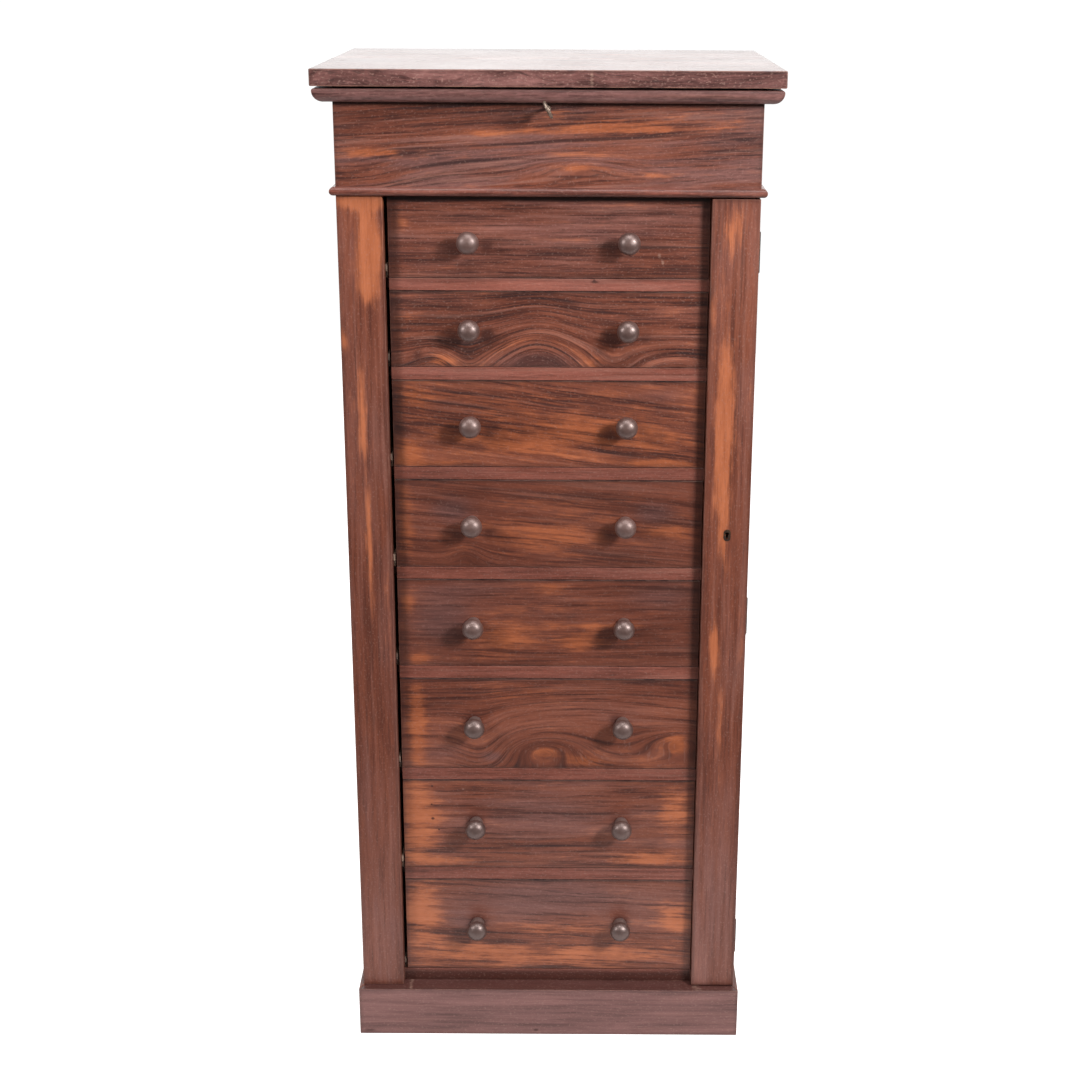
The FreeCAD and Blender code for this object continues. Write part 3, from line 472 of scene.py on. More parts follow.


# ---------------------------------------------------------------------------
# drawer fronts: one board each, its own figure
# ---------------------------------------------------------------------------
# the lower drawers carry a higher lift, partly painted light that makes up for the weaker light low on the chest
DRAWERS = {
    1: dict(seed=1.0, freq=300.0, fine=0.62, haze=0.55, bands=1.65, pale=0.35, warp=0.006, lift=0.045, lines=0.62,
            orange=[(-0.008, 1.161, 0.075, 0.0032, 0.50), (0.006, 1.1833, 0.034, 0.0026, 0.45),
                    (-0.188, 1.183, 0.010, 0.012, 0.50), (0.158, 1.150, 0.05, 0.004, 0.25)],
            polish_and_reflection_haze=[(0.0, 1.165, 0.24, 0.060, 0.55)],
            marks=[(0.1425, 1.1412, 0.0036, 0.0050, 0.66), (0.1470, 1.1316, 0.0032, 0.0056, 0.62)]),
    2: dict(seed=2.0, freq=330.0, fine=0.68, haze=0.30, bands=1.75, pale=0.40, warp=0.007, lift=-0.025, lines=0.76,
            bumps=[(-0.0146, 0.985, 0.050, 0.075, -0.045), (0.085, 0.990, 0.040, 0.030, 0.022),
                   (-0.105, 0.990, 0.030, 0.030, 0.014), (-0.152, 0.985, 0.028, 0.035, -0.022),
                   (0.165, 0.985, 0.045, 0.028, -0.016)],
            orange=[(-0.144, 1.002, 0.020, 0.008, 0.75), (-0.18, 1.05, 0.03, 0.02, 0.3), (0.060, 1.000, 0.020, 0.012, 0.3)],
            glow=[(-0.0146, 1.0020, 0.080, 0.0080, 0.55)],
            veins=[(-0.0146, 0.9900, 0.064, 0.0022, 1.20), (0.020, 1.0560, 0.120, 0.0014, 0.65),
                   (-0.015, 1.0130, 0.080, 0.0011, 0.62), (-0.015, 1.0240, 0.090, 0.0011, 0.58)],
            polish_and_reflection_haze=[(-0.0150, 0.996, 0.050, 0.019, 1.30)], calm=[(-0.0146, 0.996, 0.054, 0.022, 1.9)],
            dark=[(-0.172, 1.008, 0.009, 0.012, 0.7), (-0.0150, 0.9970, 0.048, 0.0190, 0.66)]),
    3: dict(seed=3.0, freq=300.0, fine=0.50, haze=0.0, speckle=0.16, pale=0.22, warp=0.010, tilt=0.13, lift=-0.015, olift=-0.15, lines=0.75,
            orange=[(-0.179, 0.955, 0.022, 0.020, 0.62), (-0.187, 0.876, 0.018, 0.018, 0.75),
                    (-0.150, 0.862, 0.050, 0.0045, 0.9), (0.151, 0.8636, 0.050, 0.0045, 1.0),
                    (0.060, 0.900, 0.120, 0.022, 0.42), (-0.06, 0.885, 0.09, 0.016, 0.36), (0.0, 0.912, 0.24, 0.060, 0.34), (-0.187, 0.866, 0.014, 0.006, 0.6)],
            polish_and_reflection_haze=[(0.150, 0.955, 0.050, 0.012, 0.6)]),
    4: dict(seed=4.0, freq=290.0, fine=0.34, speckle=0.11, haze=0.20, pale=0.2, warp=0.012, tilt=0.09, lift=-0.015, lines=0.42, bands=0.75,
            bumps=[(-0.111, 0.735, 0.024, 0.018, -0.013)],
            orange=[(-0.193, 0.777, 0.012, 0.075, 0.55), (0.166, 0.7656, 0.040, 0.012, 0.45), (-0.007, 0.762, 0.110, 0.026, 0.30), (0.0, 0.776, 0.24, 0.060, 0.22)],
            ragged=0.75, olift=-0.14,
            polish_and_reflection_haze=[(-0.129, 0.796, 0.034, 0.022, 0.95), (0.140, 0.792, 0.034, 0.020, 0.9)],
            dark=[(0.027, 0.7236, 0.050, 0.0018, 0.8)]),
    5: dict(seed=5.0, freq=290.0, fine=0.36, speckle=0.11, haze=0.20, pale=0.2, warp=0.013, lift=-0.035, lines=0.40, bands=0.75, ragged=0.80, olift=-0.10,
            orange=[(0.0, 0.632, 0.24, 0.060, 0.24), (0.046, 0.607, 0.026, 0.013, 0.60), (0.060, 0.628, 0.014, 0.009, 0.32), (0.006, 0.687, 0.028, 0.008, 0.45),
                    (-0.066, 0.604, 0.050, 0.034, 0.34), (-0.179, 0.580, 0.019, 0.011, 0.62), (-0.193, 0.661, 0.010, 0.016, 0.6)],
            polish_and_reflection_haze=[(-0.145, 0.640, 0.050, 0.045, 0.95), (0.150, 0.675, 0.060, 0.030, 0.7), (-0.09, 0.685, 0.08, 0.014, 0.5)]),
    6: dict(seed=6.0, fine=0.40, speckle=0.14, haze=0.22, pale=0.28, warp=0.007, lift=0.11, lines=0.52,
            bumps=[(-0.0070, 0.4452, 0.0605, 0.0274, -0.0360), (-0.0937, 0.4505, 0.0336, 0.0500, 0.0200),
                   (0.1910, 0.4600, 0.0568, 0.0240, -0.0300), (0.0600, 0.4925, 0.1500, 0.0453, -0.0284)],
            orange=[(-0.184, 0.484, 0.014, 0.090, 0.88), (0.000, 0.441, 0.034, 0.013, 0.58), (0.050, 0.427, 0.024, 0.008, 0.80),
                    (0.180, 0.455, 0.020, 0.015, 0.92), (-0.105, 0.447, 0.010, 0.007, 0.5), (-0.045, 0.535, 0.05, 0.012, 0.35)],
            veins=[(0.000, 0.4236, 0.085, 0.0020, 0.52), (-0.010, 0.4517, 0.095, 0.0018, 0.52), (0.000, 0.4985, 0.150, 0.0016, 0.60),
                   (0.150, 0.4309, 0.040, 0.0020, 0.50)],
            calm=[(0.000, 0.440, 0.052, 0.022, 1.3), (0.182, 0.455, 0.028, 0.018, 1.0)],
            polish_and_reflection_haze=[(-0.080, 0.434, 0.020, 0.009, 0.95), (-0.150, 0.440, 0.040, 0.016, 0.6), (0.10, 0.50, 0.05, 0.02, 0.4)]),
    7: dict(seed=7.0, fine=0.50, speckle=0.15, haze=0.50, ragged=0.95, olift=0.24, warp=0.010, lift=0.16, lines=0.58, bands=0.78,
            orange=[(-0.186, 0.331, 0.030, 0.080, 0.92), (0.180, 0.354, 0.028, 0.044, 0.70),
                    (0.146, 0.275, 0.062, 0.012, 0.95), (-0.13, 0.268, 0.05, 0.008, 0.5)],
            polish_and_reflection_haze=[(0.0, 0.345, 0.120, 0.042, 0.75)],
            veins=[(0.020, 0.2950, 0.090, 0.0024, 0.75)],
            dark=[(-0.1652, 0.3874, 0.0016, 0.0016, 1.6), (-0.1664, 0.3586, 0.0014, 0.0014, 1.4),
                  (-0.1651, 0.3366, 0.0020, 0.0018, 1.6), (-0.1566, 0.3192, 0.0014, 0.0014, 1.4)],
            marks=[(-0.1216, 0.3827, 0.0030, 0.0020, 0.5)]),
    8: dict(seed=8.0, fine=0.50, speckle=0.15, haze=0.45, ragged=0.95, olift=0.28, warp=0.014, tilt=0.05, lift=0.145, lines=0.60, bands=0.78,
            orange=[(-0.182, 0.182, 0.030, 0.062, 0.92), (0.030, 0.117, 0.190, 0.020, 0.92),
                    (0.186, 0.172, 0.026, 0.030, 0.75), (0.012, 0.160, 0.078, 0.017, 0.62), (-0.10, 0.122, 0.06, 0.016, 0.5)],
            polish_and_reflection_haze=[(-0.012, 0.207, 0.150, 0.040, 0.95), (-0.125, 0.165, 0.022, 0.030, 0.5)]),
}
KNOB_Z = {1: 1.1593, 2: 1.0456, 3: 0.9173, 4: 0.7796, 5: 0.6338, 6: 0.4860, 7: 0.3307, 8: 0.1689}
KNOB_DARKENING_SET = {1: ((0.70, 0.75), (0.76, 0.20)), 2: ((0.80, 1.10), (1.05, 0.50)), 3: ((0.55, 0.60), (0.85, 0.40)),
        4: ((0.75, 0.70), (0.80, 0.15)), 5: ((0.65, 0.20), (0.35, 0.10)),
        6: ((0.005, 0.90), (0.007, 0.85)), 7: ((0.003, 1.00), (0.003, 0.85)), 8: ((0.000, 1.05), (0.000, 1.05))}
# strength of the painted stile shadow at the ends of each drawer front, weaker low down
STILE_SHADOW = {1: 0.50, 2: 0.50, 3: 0.50, 4: 0.48, 5: 0.44, 6: 0.30, 7: 0.10, 8: 0.08}
for n, spec in DRAWERS.items():
    node = "drawer_%d_front" % n
    spec = dict(spec)
    # darker patches round each knob: on drawers 1 to 5 painted shadows cast by the knob, a strong one to the lower left
    # and a weak one to the right; on drawers 6 to 8 one darker patch over and just above the knob
    knob_darkening = []
    for sx, (before, after) in zip((-1, 1), KNOB_DARKENING_SET[n]):
        if n < 6:
            low = KNOB_Z[n] - 0.009 - 0.0022 * n
            knob_darkening += [(sx * 0.1032 - 0.021, low, 0.015, 0.0105, before), (sx * 0.1032 + 0.023, low + 0.003, 0.012, 0.0105, after)]
        else:
            knob_darkening += [(sx * 0.1032 - before, KNOB_Z[n] + 0.0015, 0.0145, 0.013, after)]
    spec["dark"] = list(spec.get("dark", ())) + knob_darkening
    # painted shade at the top of each front, wider under the bead on the first drawer
    spec["shade"] = (0.0020, 0.0075) if n == 1 else (0.0006, 0.0022)
    put(node, rosewood("rosewood_drawer_%d" % n, "xzy", box=lohi(node), ends=STILE_SHADOW[n], **spec))

# ---------------------------------------------------------------------------
# frieze, stiles, sides, lid, mouldings, plinth, rails
# ---------------------------------------------------------------------------
put("frieze_board", rosewood(
    "rosewood_frieze", "xzy", 11.0, lohi("frieze_board"), warp=0.009, tilt=-0.06, lift=0.08, lines=0.72, freq=290.0,
    bands=0.98, haze=0.95, pale=0.55, olift=-0.02, fine=0.72,
    orange=[(0.105, 1.309, 0.130, 0.013, 0.52), (0.085, 1.3022, 0.064, 0.0055, 0.85), (0.038, 1.2533, 0.034, 0.0055, 0.80),
            (-0.214, 1.272, 0.042, 0.006, 0.70), (-0.0935, 1.296, 0.036, 0.005, 0.65), (0.12, 1.245, 0.07, 0.008, 0.35),
            (-0.015, 1.2985, 0.036, 0.004, 0.50), (0.06, 1.270, 0.10, 0.005, 0.35)],
    bumps=[(0.0384, 1.2560, 0.070, 0.014, -0.014), (-0.240, 1.235, 0.080, 0.030, 0.014)],
    veins=[(0.040, 1.2850, 0.210, 0.0026, 0.80), (-0.110, 1.2655, 0.110, 0.0030, 0.75)],
    dark=[(0.035, 1.2425, 0.052, 0.0022, 0.80), (-0.010, 1.2640, 0.050, 0.0018, 0.60), (-0.10, 1.250, 0.045, 0.008, 0.45),
          # the last dark patch is painted shadow under the top moulding
          (0.0, 1.3345, 3.0, 0.0055, 1.0)],
    polish_and_reflection_haze=[(-0.262, 1.285, 0.016, 0.08, 0.45), (0.262, 1.285, 0.018, 0.08, 0.6)]))
put("fixed_stile", rosewood(
    "rosewood_fixed_stile", "zxy", 12.0, lohi("fixed_stile"), warp=0.006, lift=0.08, lines=0.20, bands=0.7,
    fine=0.40, haze=0.38, ragged=0.70, olift=0.32, speckle=0.20, pale=0.26,
    # the low light patch and the low grey patch are a painted reflection of the pale floor
    light=[(1.150, -0.262, 0.070, 0.020, 0.14), (0.150, -0.240, 0.280, 0.060, 0.10)], polish_and_reflection_haze=[(0.150, -0.240, 0.280, 0.080, 0.55)],
    orange=[(1.150, -0.2300, 0.056, 0.0145, 1.60), (1.098, -0.2320, 0.016, 0.0120, 0.60), (1.210, -0.240, 0.010, 0.04, 1.10), (0.934, -0.2449, 0.060, 0.0055, 0.62),
            (0.744, -0.2415, 0.085, 0.0050, 0.72), (1.031, -0.2655, 0.016, 0.005, 0.6), (0.98, -0.25, 0.12, 0.012, 0.2)]))
put("locking_stile", rosewood(
    "rosewood_locking_stile", "zxy", 13.0, lohi("locking_stile"), warp=0.007, lift=0.10, lines=0.20, bands=0.7,
    fine=0.40, haze=0.38, ragged=0.75, olift=0.26, speckle=0.20, pale=0.26,
    # the low light patch and the low grey patch are a painted reflection of the pale floor
    light=[(1.130, 0.240, 0.100, 0.060, 0.10), (0.150, 0.240, 0.260, 0.060, 0.10)], polish_and_reflection_haze=[(0.150, 0.240, 0.280, 0.080, 0.60)],
    orange=[(1.176, 0.235, 0.034, 0.018, 0.50), (0.905, 0.232, 0.125, 0.0125, 1.45), (0.775, 0.2355, 0.045, 0.0055, 0.75),
            (0.605, 0.2275, 0.036, 0.0080, 1.15), (0.470, 0.239, 0.070, 0.0055, 0.50), (1.07, 0.213, 0.05, 0.005, 0.5)]))
for side, seed in (("left", 14.0), ("right", 15.0)):
    node = "side_panel_" + side
    put(node, rosewood(
        "rosewood_side_" + side, "zyx", seed, lohi(node), warp=0.045, lift=0.03, lines=0.71,
        bumps=[(0.10, 0.02, 0.42, 0.075, -0.070), (0.95, -0.02, 0.50, 0.060, 0.045)],
        orange=[(0.62, 0.05, 0.30, 0.020, 0.42), (1.05, -0.10, 0.22, 0.016, 0.38), (0.30, 0.13, 0.18, 0.014, 0.35)],
        polish_and_reflection_haze=[(0.14, 0.0, 0.10, 0.25, 0.35)]))
put("lid_panel", rosewood(
    "rosewood_lid", "xyz", 16.0, lohi("lid_panel"), warp=0.045, lift=-0.10, lines=0.60,
    bumps=[(-0.10, 0.04, 0.22, 0.060, -0.055), (0.20, -0.08, 0.20, 0.05, 0.030)],
    orange=[(0.0, 0.02, 0.20, 0.018, 0.35), (0.14, 0.12, 0.16, 0.012, 0.38)],
    polish_and_reflection_haze=[(0.0, 0.0, 0.34, 0.30, 0.22)], light=[(0.0, -0.2235, 3.0, 0.004, 0.03)], wash=[(0.0, -0.2235, 3.0, 0.012, 2.0)], wash_colour=MAUVE,
    speckle=0.48, rubbed=0.9, relief=0.18, rough=0.27, spec=0.44, marks=[(0.0539, -0.2228, 0.0045, 0.004, 0.52)]))


def round_corner(S):
    """1 on the side lengths of a mitred moulding, 0 on the front length."""
    s = S.add(S.sub(S.math("ABSOLUTE", S.x), 0.270), S.sub(S.y, YC))
    return S.math("GREATER_THAN", s, 0.0)


put("bead_moulding", rosewood("rosewood_bead", "xzy", 17.0, lohi("bead_moulding"), warp=0.004, lift=-0.08,
                              lines=0.40, split=round_corner, palette=RAIL))
put("top_moulding", rosewood("rosewood_moulding", "xzy", 18.0, lohi("top_moulding"), warp=0.004, lift=0.07,
                             lines=0.45, split=round_corner, palette=MAUVE))
# the plinth front's lift is raised partly as painted light, for the weaker light low on the chest
put("plinth_front", rosewood("rosewood_plinth_front", "xzy", 19.0, lohi("plinth_front"), warp=0.010, lift=0.10,
                             lines=0.12, fine=0.30, haze=0.30, pale=0.12, palette=MAUVE,
                             dark=[(-0.0183, 0.0075, 0.0040, 0.0020, 1.2), (-0.262, 0.006, 0.010, 0.003, 0.8),
                                   (0.0, 0.0748, 9.0, 0.0012, 0.86)],
                             marks=[(-0.201, 0.0746, 0.006, 0.0014, 0.52), (0.216, 0.0746, 0.012, 0.0014, 0.50)]))


def back_board(S):
    """1 on the plinth's two side boards, 0 on its back board."""
    return S.math("LESS_THAN", S.y, 0.2200)


put("plinth_returns", rosewood("rosewood_plinth_returns", "xzy", 20.0, lohi("plinth_returns"), warp=0.010, lift=0.05,
                               lines=0.41, split=back_board))
put("drawer_rails", rosewood("rosewood_rails", "xzy", 21.0, lohi("drawer_rails"), warp=0.004, lift=-0.06, lines=0.26,
                             # ends: painted shadow of the stiles across the rail ends; light: the upper rails painted
                             # lighter, standing in for the stronger light high on the chest
                             ends=0.25, palette=RAIL, fine=0.7, haze=0.25, light=[(0.0, 1.100, 3.0, 0.110, 0.20)],
                             # the first dark patch is painted shade on the bottom rail under the lowest drawer
                             dark=[(0.0, 0.078, 2.0, 0.014, 1.3), (0.0598, 1.1063, 0.0065, 0.0016, 0.95), (0.0590, 1.1080, 0.0018, 0.0030, 0.8)]))


# ---------------------------------------------------------------------------
# knobs: turned, dark
# ---------------------------------------------------------------------------
def knob_wood():
    S = Shader("knob_wood")
    cut = S.noise(S.join(0.0, S.y, 0.0), (1.0, 900.0, 1.0), 2.0, 0.5)         # lathe lines
    grain = S.noise(S.pos, (260.0, 30.0, 420.0), 3.0, 0.6)
    tone = S.noise(S.pos, (7.0, 3.0, 7.0), 1.0, 0.5)
    t = S.mad(S.sub(grain, 0.5), 0.9, 0.5)
    t = S.mad(S.sub(tone, 0.5), 0.9, t)
    t = S.add(t, S.step(S.z, 0.50, 0.66, -0.16, 0.17))      # painted light: knobs high on the chest lighter, low ones darker, for the stronger light up there
    colour = S.ramp(t, [(0.1, (0.028, 0.0138, 0.0115)), (0.5, (0.052, 0.0250, 0.0205)), (0.9, (0.092, 0.0450, 0.0370))])
    nose = S.step(S.y, YD - 0.035, YD - 0.022, 1.0, 0.0)    # handled on the front
    colour = S.mix(S.mul(nose, 0.30), colour, (0.085, 0.0480, 0.0400))
    # painted light: the neck is lightened against the shade it gets behind the head
    neck = S.step(S.y, YD - 0.0134, YD - 0.0120)
    colour = S.mix(S.mul(neck, 0.55), colour, (0.130, 0.0880, 0.0780))
    # painted shade in the groove between the neck and the head
    quirk = S.step(S.math("ABSOLUTE", S.sub(S.y, YD - 0.0138)), 0.0002, 0.0009, 1.0, 0.0)
    colour = S.mix(S.mul(quirk, 0.75), colour, (0.010, 0.0060, 0.0055))
    rough = S.mad(S.sub(tone, 0.5), 0.2, 0.44)
    normal = S.bump(S.mad(cut, 0.4, grain), 0.10, 0.0004)
    return S.finish(colour, rough, normal, spec=1.0, ior=1.66, tint=(1.0, 0.79, 0.74))


KNOB = knob_wood()
for n in range(1, 9):
    put("drawer_%d_knobs" % n, KNOB)


# ---------------------------------------------------------------------------
# plain woods inside
# ---------------------------------------------------------------------------
def plain_wood(name, axes, tones, seed, freq=70.0, swap=None, shift=None, rough=0.62, stain=(), grey=0.0):
    """Unpolished timber with straight grain."""
    S = Shader(name)
    comp = {"x": S.x, "y": S.y, "z": S.z}
    u, v, w = (comp[a] for a in axes)
    if swap is not None:
        m = swap(S)
        u, v = S.mixf(m, u, v), S.mixf(m, v, u)
    us = S.add(u, seed * 1.31)
    if shift is not None:
        us = S.add(us, shift(S))
    ws = S.add(w, seed * 0.53)
    P = S.join(us, v, ws)
    slow = S.noise(P, (1.5, 7.0, 7.0), 1.0, 0.5)
    r = S.mad(S.sub(slow, 0.5), 0.06, S.mad(w, 0.6, v))
    R = S.join(us, r, ws)
    ring = S.noise(R, (0.7, freq, 8.0), 2.0, 0.55)
    fine = S.noise(R, (9.0, 900.0, 120.0), 2.0, 0.6)
    fleck = S.step(S.noise(R, (45.0, 1500.0, 300.0), 1.0, 0.5), 0.62, 0.75)
    t = S.mad(S.sub(ring, 0.5), 1.3, 0.5)
    t = S.mad(S.sub(fine, 0.5), 0.45, t)
    colour = S.ramp(t, tones)
    age = S.noise(R, (3.0, 26.0, 9.0), 4.0, 0.62)
    colour = S.mix(S.step(age, 0.45, 0.78, 0.0, 0.40), colour, tuple(c * 0.55 for c in tones[0][1]))
    if grey:                                 # dust and smoke, uneven and along the boards
        soot = S.noise(P, (1.3, 8.0, 4.0), 5.0, 0.68)
        colour = S.mix(S.mul(S.step(soot, 0.36, 0.70), grey), colour, (0.105, 0.0680, 0.0460))
    if stain:                                # ends and edges gone dark
        colour = S.mix(S.blobs(S.join(S.x, S.z, 0.0), stain), colour, (0.060, 0.0330, 0.0250))
    colour = S.mix(S.mul(fleck, 0.4), colour, tuple(c * 0.35 for c in tones[0][1]))
    rg = S.mad(S.sub(age, 0.5), 0.2, rough)
    normal = S.bump(S.mad(fleck, -0.7, S.mad(fine, 0.5, S.mul(ring, 0.3))), 0.25, 0.0006)
    return S.finish(colour, rg, normal, spec=0.3)


LINING = [(0.15, (0.150, 0.070, 0.032)), (0.5, (0.270, 0.138, 0.064)), (0.85, (0.380, 0.212, 0.106))]
PINE = [(0.15, (0.210, 0.110, 0.048)), (0.5, (0.340, 0.200, 0.098)), (0.85, (0.440, 0.280, 0.150))]
BACKS = [(0.15, (0.150, 0.070, 0.033)), (0.5, (0.255, 0.132, 0.066)), (0.85, (0.340, 0.190, 0.098))]
PALE = [(0.15, (0.240, 0.150, 0.105)), (0.5, (0.350, 0.230, 0.170)), (0.85, (0.440, 0.310, 0.240))]
STAINED = [(0.15, (0.050, 0.022, 0.016)), (0.5, (0.110, 0.048, 0.032)), (0.85, (0.170, 0.078, 0.050))]


def drawer_side(S):
    """1 on the two sides of a drawer box, whose grain runs front to back."""
    return S.math("GREATER_THAN", S.math("ABSOLUTE", S.sub(S.x, 0.0004)), 0.1977)


for n in range(1, 9):
    put("drawer_%d_box" % n, plain_wood("drawer_lining_%d" % n, "xyz", LINING, 30.0 + n, swap=drawer_side))


def board_of_three(S):
    """A different length of the log for each of the three back boards."""
    n = S.math("FLOOR", S.mul(S.add(S.x, 0.252), 1 / 0.168))
    return S.mul(S.mul(n, 2.37), S.math("LESS_THAN", S.z, 1.2172))


def back_rail(S):
    """1 on the rail at the back of the well, whose grain runs across."""
    return S.math("GREATER_THAN", S.z, 1.2172)


put("back_boards", plain_wood("pine_back", "zxy", BACKS, 41.0, 62.0, swap=back_rail, shift=board_of_three, grey=0.46))
put("well_floor", plain_wood("pine_well_floor", "xyz", PINE, 42.0, 48.0))
put("case_bottom", plain_wood("pine_bottom", "xyz", PINE, 43.0, 48.0))
put("front_posts", plain_wood("stained_posts", "zxy", STAINED, 44.0))
put("dust_boards", plain_wood("pine_dust_boards", "xyz", PINE, 45.0, 48.0))
put("drawer_runners", plain_wood("pine_runners", "yxz", PINE, 46.0))
put("drawer_guides", plain_wood("pale_guides", "yxz", PALE, 47.0, stain=[
    (0.0, 1.119, 9.0, 0.016, 0.55), (0.0, 1.002, 9.0, 0.020, 0.92), (0.0, 0.865, 9.0, 0.020, 0.62),
    (0.0, 0.579, 9.0, 0.020, 0.90), (0.0, 0.424, 9.0, 0.020, 0.65), (0.0, 0.102, 9.0, 0.020, 0.75)]))
put("drawer_stops", plain_wood("pine_stops", "xyz", PINE, 48.0))
put("plinth_glue_blocks", plain_wood("pine_blocks", "zxy", PINE, 49.0))


# ---------------------------------------------------------------------------
# metals
# ---------------------------------------------------------------------------
def metal(name, bright, dirty, tarnish, rough, seed, brushed=None):
    S = Shader(name)
    P = S.vec("ADD", S.pos, (seed, seed * 0.7, seed * 1.3))
    cloud = S.noise(P, 90.0, 3.0, 0.65)
    spot = S.noise(P, 700.0, 2.0, 0.6)
    m = S.step(S.mad(S.sub(spot, 0.5), 0.45, cloud), 0.5 - tarnish * 0.4, 0.78 - tarnish * 0.35)
    colour = S.mix(m, bright, dirty)
    scratch = S.noise(P, brushed or (160.0, 2600.0, 900.0), 2.0, 0.6)
    colour = S.mix(S.mul(S.step(scratch, 0.5, 0.8), 0.25), colour, tuple(c * 0.5 for c in dirty))
    rg = S.mad(m, 0.28, rough)
    rg = S.mad(S.sub(scratch, 0.5), 0.16, rg)
    normal = S.bump(S.mad(spot, 0.4, scratch), 0.15, 0.0002)
    return S.finish(colour, rg, normal, metallic=S.mad(m, -0.35, 1.0))


BRASS = metal("tarnished_brass", (0.48, 0.31, 0.12), (0.10, 0.055, 0.025), 0.55, 0.30, 1.0)
BRASS_DARK = metal("dark_brass", (0.22, 0.13, 0.06), (0.045, 0.024, 0.016), 0.80, 0.38, 2.0)
STEEL = metal("worn_steel", (0.46, 0.44, 0.41), (0.13, 0.10, 0.08), 0.40, 0.28, 3.0)
KEY = metal("key_steel", (0.44, 0.355, 0.29), (0.15, 0.100, 0.074), 0.45, 0.32, 4.0)
for node in ("lid_hinge_case_leaves", "lid_hinge_leaves", "lid_link_plate", "stile_strike_plate", "lid_lock_case",
             "stile_lock_case"):
    put(node, BRASS)
for node in ("stile_hinge_case_leaves", "stile_hinge_leaves", "hinge_pins", "stile_escutcheon"):
    put(node, BRASS_DARK)
for node in ("case_screws", "lid_screws", "stile_screws", "lid_lock_bolt", "stile_lock_bolt"):
    put(node, STEEL)
put("lid_key", KEY)


# ---------------------------------------------------------------------------
# softened edges on the boards
# ---------------------------------------------------------------------------
def weight_group(name, outer_only):
    """Marks the edges to soften: the edges of the board's own box, or every long sharp edge."""
    g = bpy.data.node_groups.new(name, "GeometryNodeTree")
    g.interface.new_socket("Geometry", in_out="INPUT", socket_type="NodeSocketGeometry")
    g.interface.new_socket("Geometry", in_out="OUTPUT", socket_type="NodeSocketGeometry")
    nd, ln = g.nodes, g.links
    gin, gout = nd.new("NodeGroupInput"), nd.new("NodeGroupOutput")
    angle = nd.new("GeometryNodeInputMeshEdgeAngle")
    sharp = nd.new("FunctionNodeCompare")
    sharp.data_type, sharp.operation = "FLOAT", "GREATER_THAN"
    ln.new(angle.outputs["Unsigned Angle"], sharp.inputs["A"])
    sharp.inputs["B"].default_value = 0.6
    ends = nd.new("GeometryNodeInputMeshEdgeVertices")
    if outer_only:
        bb = nd.new("GeometryNodeBoundBox")
        ln.new(gin.outputs[0], bb.inputs[0])
        total = None
        flags = []
        for end in ("Position 1", "Position 2"):
            per_axis = []
            for limit in ("Min", "Max"):
                sub = nd.new("ShaderNodeVectorMath")
                sub.operation = "SUBTRACT"
                ln.new(ends.outputs[end], sub.inputs[0])
                ln.new(bb.outputs[limit], sub.inputs[1])
                ab = nd.new("ShaderNodeVectorMath")
                ab.operation = "ABSOLUTE"
                ln.new(sub.outputs[0], ab.inputs[0])
                per_axis.append(ab.outputs[0])
            near = nd.new("ShaderNodeVectorMath")
            near.operation = "MINIMUM"
            ln.new(per_axis[0], near.inputs[0])
            ln.new(per_axis[1], near.inputs[1])
            sep = nd.new("ShaderNodeSeparateXYZ")
            ln.new(near.outputs[0], sep.inputs[0])
            count = None
            for i in range(3):
                lt = nd.new("ShaderNodeMath")
                lt.operation = "LESS_THAN"
                ln.new(sep.outputs[i], lt.inputs[0])
                lt.inputs[1].default_value = 2e-5
                if count is None:
                    count = lt.outputs[0]
                else:
                    ad = nd.new("ShaderNodeMath")
                    ad.operation = "ADD"
                    ln.new(count, ad.inputs[0])
                    ln.new(lt.outputs[0], ad.inputs[1])
                    count = ad.outputs[0]
            two = nd.new("ShaderNodeMath")
            two.operation = "GREATER_THAN"
            ln.new(count, two.inputs[0])
            two.inputs[1].default_value = 1.5
            flags.append(two.outputs[0])
        keep = nd.new("ShaderNodeMath")
        keep.operation = "MULTIPLY"
        ln.new(flags[0], keep.inputs[0])
        ln.new(flags[1], keep.inputs[1])
        keep_out = keep.outputs[0]
    else:
        dist = nd.new("ShaderNodeVectorMath")
        dist.operation = "DISTANCE"
        ln.new(ends.outputs["Position 1"], dist.inputs[0])
        ln.new(ends.outputs["Position 2"], dist.inputs[1])
        keep = nd.new("ShaderNodeMath")
        keep.operation = "GREATER_THAN"
        ln.new(dist.outputs["Value"], keep.inputs[0])
        keep.inputs[1].default_value = 0.004
        keep_out = keep.outputs[0]
    both = nd.new("ShaderNodeMath")
    both.operation = "MULTIPLY"
    ln.new(sharp.outputs[0], both.inputs[0])
    ln.new(keep_out, both.inputs[1])
    store = nd.new("GeometryNodeStoreNamedAttribute")
    store.data_type, store.domain = "FLOAT", "EDGE"
    store.inputs["Name"].default_value = "bevel_weight_edge"
    smooth = nd.new("GeometryNodeSetShadeSmooth")
    ln.new(gin.outputs[0], store.inputs["Geometry"])
    ln.new(both.outputs[0], store.inputs["Value"])
    ln.new(store.outputs[0], smooth.inputs[0])
    ln.new(smooth.outputs[0], gout.inputs[0])
    return g


OUTER = weight_group("outer_edges", True)
SHARP = weight_group("sharp_edges", False)


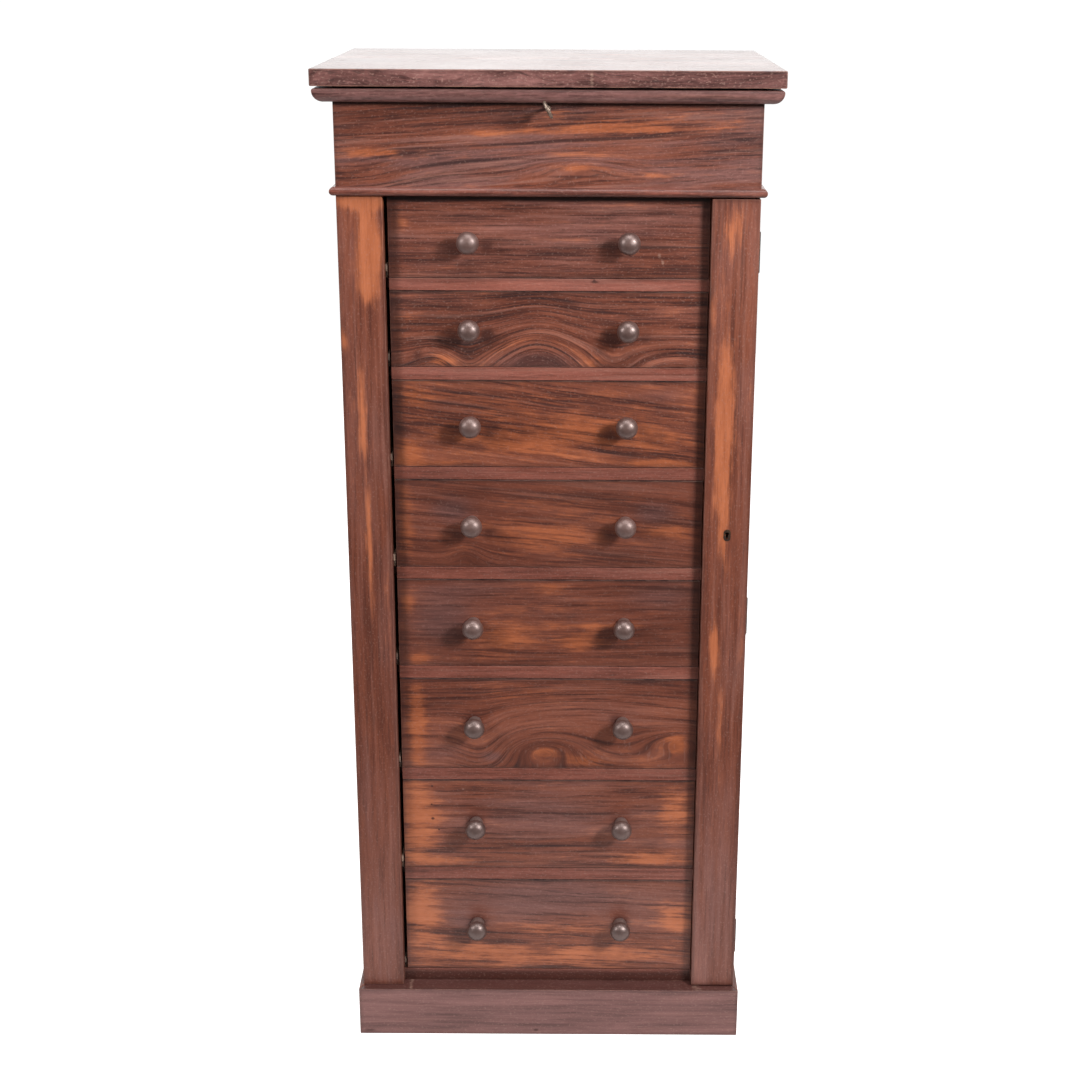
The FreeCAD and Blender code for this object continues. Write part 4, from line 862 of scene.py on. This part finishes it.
def soften(node, width, group, segments=3):
    o = NODE[node]
    m = o.modifiers.new("weld", "WELD")
    m.merge_threshold = 1e-6
    m = o.modifiers.new("flat_faces", "DECIMATE")
    m.decimate_type = "DISSOLVE"
    m.angle_limit = math.radians(0.5)
    m = o.modifiers.new("edges", "NODES")
    m.node_group = group
    m = o.modifiers.new("soft_edges", "BEVEL")
    m.limit_method = "WEIGHT"
    m.width = width
    m.segments = segments
    m.use_clamp_overlap = False
    m.miter_outer = "MITER_SHARP"
    m = o.modifiers.new("normals", "WEIGHTED_NORMAL")
    m.weight = 100
    m.keep_sharp = False


for n in range(1, 9):
    soften("drawer_%d_front" % n, 0.0007, OUTER)
    soften("drawer_%d_box" % n, 0.00035, SHARP, 2)
for node, width in (("frieze_board", 0.0006), ("fixed_stile", 0.0009), ("locking_stile", 0.0011), ("lid_panel", 0.0016),
                    ("side_panel_left", 0.0008), ("side_panel_right", 0.0008)):
    soften(node, width, OUTER)
for node, width in (("plinth_front", 0.0009), ("plinth_returns", 0.0013), ("drawer_rails", 0.0004),
                    ("back_boards", 0.0010), ("front_posts", 0.00018), ("dust_boards", 0.0005),
                    ("drawer_runners", 0.0005), ("drawer_guides", 0.0006), ("drawer_stops", 0.0006),
                    ("plinth_glue_blocks", 0.0008), ("well_floor", 0.0004), ("case_bottom", 0.0004)):
    soften(node, width, SHARP, 2)


# ---------------------------------------------------------------------------
# floor
# ---------------------------------------------------------------------------
def make_floor():
    mesh = bpy.data.meshes.new("floor")
    mesh.from_pydata([(-2.6, -0.8, 0.0), (2.6, -0.8, 0.0), (2.6, 4.5, 0.0), (-2.6, 4.5, 0.0)], [], [(0, 1, 2, 3)])
    floor = bpy.data.objects.new("floor", mesh)
    scene.collection.objects.link(floor)
    S = Shader("pale_floor")
    cloud = S.noise(S.pos, 3.0, 2.0, 0.5)
    S.bsdf.inputs["Emission Color"].default_value = (1.0, 1.0, 1.0, 1.0)
    path = S.nt.nodes.new("ShaderNodeLightPath")
    S.put(S.bsdf.inputs["Emission Strength"],
          S.mixf(path.outputs["Is Camera Ray"], S.step(S.y, -0.56, -0.34, 0.005, 0.25), 1.0))
    mat = S.finish(S.ramp(cloud, [(0.0, (0.58, 0.58, 0.58)), (1.0, (0.62, 0.62, 0.62))]), 0.85, spec=0.1)
    mesh.materials.append(mat)


make_floor()

# ---------------------------------------------------------------------------
bpy.context.view_layer.update()
